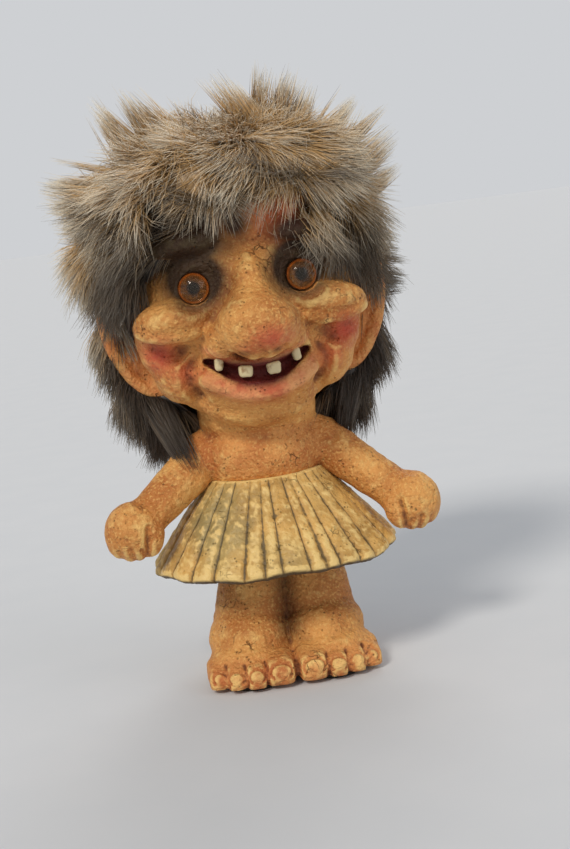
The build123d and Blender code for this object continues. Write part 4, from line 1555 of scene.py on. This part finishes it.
# %% The fur's finish
fur_finish, tree, shader = new_material("frosted_fur")
hair_map = add_node(tree, "ShaderNodeUVMap", uv_map="OFBake").outputs["UV"]
hair_map = add_node(tree, "ShaderNodeSeparateXYZ", {"Vector": hair_map})
root_to_tip = hair_map.outputs["Y"]
dark_hair = mix(tree, root_to_tip, colour(26, 20, 16), colour(70, 58, 49))
bleached = ramp(tree, root_to_tip, 0.05, 0.50)
brown_hair = mix(tree, bleached, colour(104, 78, 50), colour(224, 180, 118))
frost = ramp(tree, root_to_tip, 0.45, 1.0)
frosted_hair = mix(tree, frost, brown_hair, colour(248, 237, 214))
hair_colour = mix(tree, hair_map.outputs["X"], dark_hair, frosted_hair)
tree.links.new(hair_colour, shader.inputs["Base Color"])
tree.links.new(ramp(tree, root_to_tip, 0.0, 1.0, 0.50, 0.26), shader.inputs["Roughness"])
print(fur_finish.name, "has", len(tree.nodes), "nodes")

# %% [markdown]
# The CAD model has the wig in five pieces of pelt. Flat seams cut the under-fur into them, and each
# hair goes with the piece that its root grows on.

# %% Fur on the pelt's five pieces
fringe_seam = -15.0
crown_seam = 125.0
side_seam = 23.0
in_front = ((0, fringe_seam, 0), (0, -1, 0))
behind = ((0, fringe_seam, 0), (0, 1, 0))
above = ((0, 0, crown_seam), (0, 0, 1))
below = ((0, 0, crown_seam), (0, 0, -1))

at_front = root[:, 1] < fringe_seam
on_crown = ~at_front & (root[:, 2] > crown_seam)
hanging = ~at_front & ~on_crown
on_left = hanging & (root[:, 0] > side_seam)
on_right = hanging & (root[:, 0] < -side_seam)
pelt_list = (
    ("fringe_fur", [in_front], at_front),
    ("crown_fur", [behind, above], on_crown),
    ("left_side_fur", [behind, below, ((side_seam, 0, 0), (1, 0, 0))], on_left),
    ("right_side_fur", [behind, below, ((-side_seam, 0, 0), (-1, 0, 0))], on_right),
    (
        "back_fur",
        [behind, below, ((side_seam, 0, 0), (-1, 0, 0)), ((-side_seam, 0, 0), (1, 0, 0))],
        hanging & ~on_left & ~on_right,
    ),
)
for node, cuts, grows_here in pelt_list:
    for piece in fur_pieces(node, cuts, grows_here):
        finish_piece(piece, node, fur_finish)
bpy.data.objects.remove(under_fur)
bpy.data.objects.remove(hair_profile)

# %% [markdown]
# ## Stage
# The figure stands on a plain pale floor under soft studio lamps: a warm key from the camera's
# left, a cool fill from its right and a rim lamp from behind. The sky lights the figure evenly,
# and looks like the paper of the floor wherever it is seen, mirrored or looked at through glass.

# %% The floor
floor_bm = bmesh.new()
bmesh.ops.create_grid(floor_bm, x_segments=1, y_segments=1, size=40.0)
floor = to_piece(floor_bm, "floor")
paper, tree, shader = new_material("pale_paper")
mottle = noise(tree, object_place(tree), 40.0, 4.0)
mottled = mix(tree, mottle, colour(205, 207, 210), colour(211, 212, 214))
tree.links.new(mottled, shader.inputs["Base Color"])
shader.inputs["Roughness"].default_value = 0.9
floor.data.materials.append(paper)
print("floor:", [round(side, 1) for side in floor.dimensions], "m")

# %% Lamps
def lamp(name, towards, strength, softness, tint):
    """A wide soft lamp, far away, that shines the way it is told."""
    light = bpy.data.lights.new(name, "SUN")
    light.energy = strength
    light.angle = math.radians(softness)
    light.color = tint
    holder = bpy.data.objects.new(name, light)
    holder.rotation_euler = Vector(towards).to_track_quat("-Z", "Y").to_euler()
    bpy.context.scene.collection.objects.link(holder)


lamp("key", (0.55, 0.80, -0.80), 1.75, 15.0, (1.0, 0.95, 0.87))
lamp("fill", (-0.80, 0.70, -0.30), 0.45, 40.0, (0.95, 0.97, 1.0))
lamp("rim", (-0.20, -0.80, -0.75), 0.70, 30.0, (1.0, 1.0, 1.0))

print("lamps:", [light.name for light in bpy.data.lights])

# %% The sky
world = bpy.data.worlds.new("studio")
world.use_nodes = True
sky = world.node_tree
daylight = sky.nodes["Background"]
daylight.inputs["Color"].default_value = (0.93, 0.96, 1.0, 1.0)
daylight.inputs["Strength"].default_value = 0.42
paper_sky = add_node(sky, "ShaderNodeBackground", {"Color": colour(206, 208, 211), "Strength": 1.0})
ray = add_node(sky, "ShaderNodeLightPath").outputs
through_gloss = maths(sky, "MAXIMUM", ray["Is Glossy Ray"], ray["Is Transmission Ray"])
seen = maths(sky, "MAXIMUM", ray["Is Camera Ray"], through_gloss)
either = add_node(
    sky, "ShaderNodeMixShader", {0: seen, 1: daylight.outputs[0], 2: paper_sky.outputs[0]}
)
sky.links.new(either.outputs[0], sky.nodes["World Output"].inputs["Surface"])
bpy.context.scene.world = world
bpy.context.scene.view_settings.view_transform = "Standard"
print("sky nodes:", len(sky.nodes))

# %% [markdown]
# The camera stands a little to the figure's right, above its eyes, and is held at a slight tilt,
# as a hand-held camera would be.

# %% Camera
camera_distance = 430.0
camera_height = 136.0
camera_azimuth = -4.5
camera_aim = (7.9, 0.0, 74.3)
camera_roll = -7.4
half_view = 16.55
sensor_width = 36.0

camera_data = bpy.data.cameras.new("camera")
camera_data.sensor_width = sensor_width
camera_data.lens = sensor_width / 2 / math.tan(math.radians(half_view))
camera_data.clip_start = 0.01
camera = bpy.data.objects.new("camera", camera_data)
swing = math.radians(camera_azimuth)
stand_x = math.sin(swing) * camera_distance
stand_y = -math.cos(swing) * camera_distance
stand = Vector((stand_x, stand_y, camera_height))
look = (Vector(camera_aim) - stand).to_track_quat("-Z", "Y").to_matrix().to_4x4()
tilt = Matrix.Rotation(math.radians(camera_roll), 4, "Z")
camera.matrix_world = Matrix.Translation(stand * MM) @ look @ tilt
bpy.context.scene.collection.objects.link(camera)
bpy.context.scene.camera = camera
print("camera at", [round(value) for value in stand], "mm, lens", round(camera_data.lens, 1), "mm")
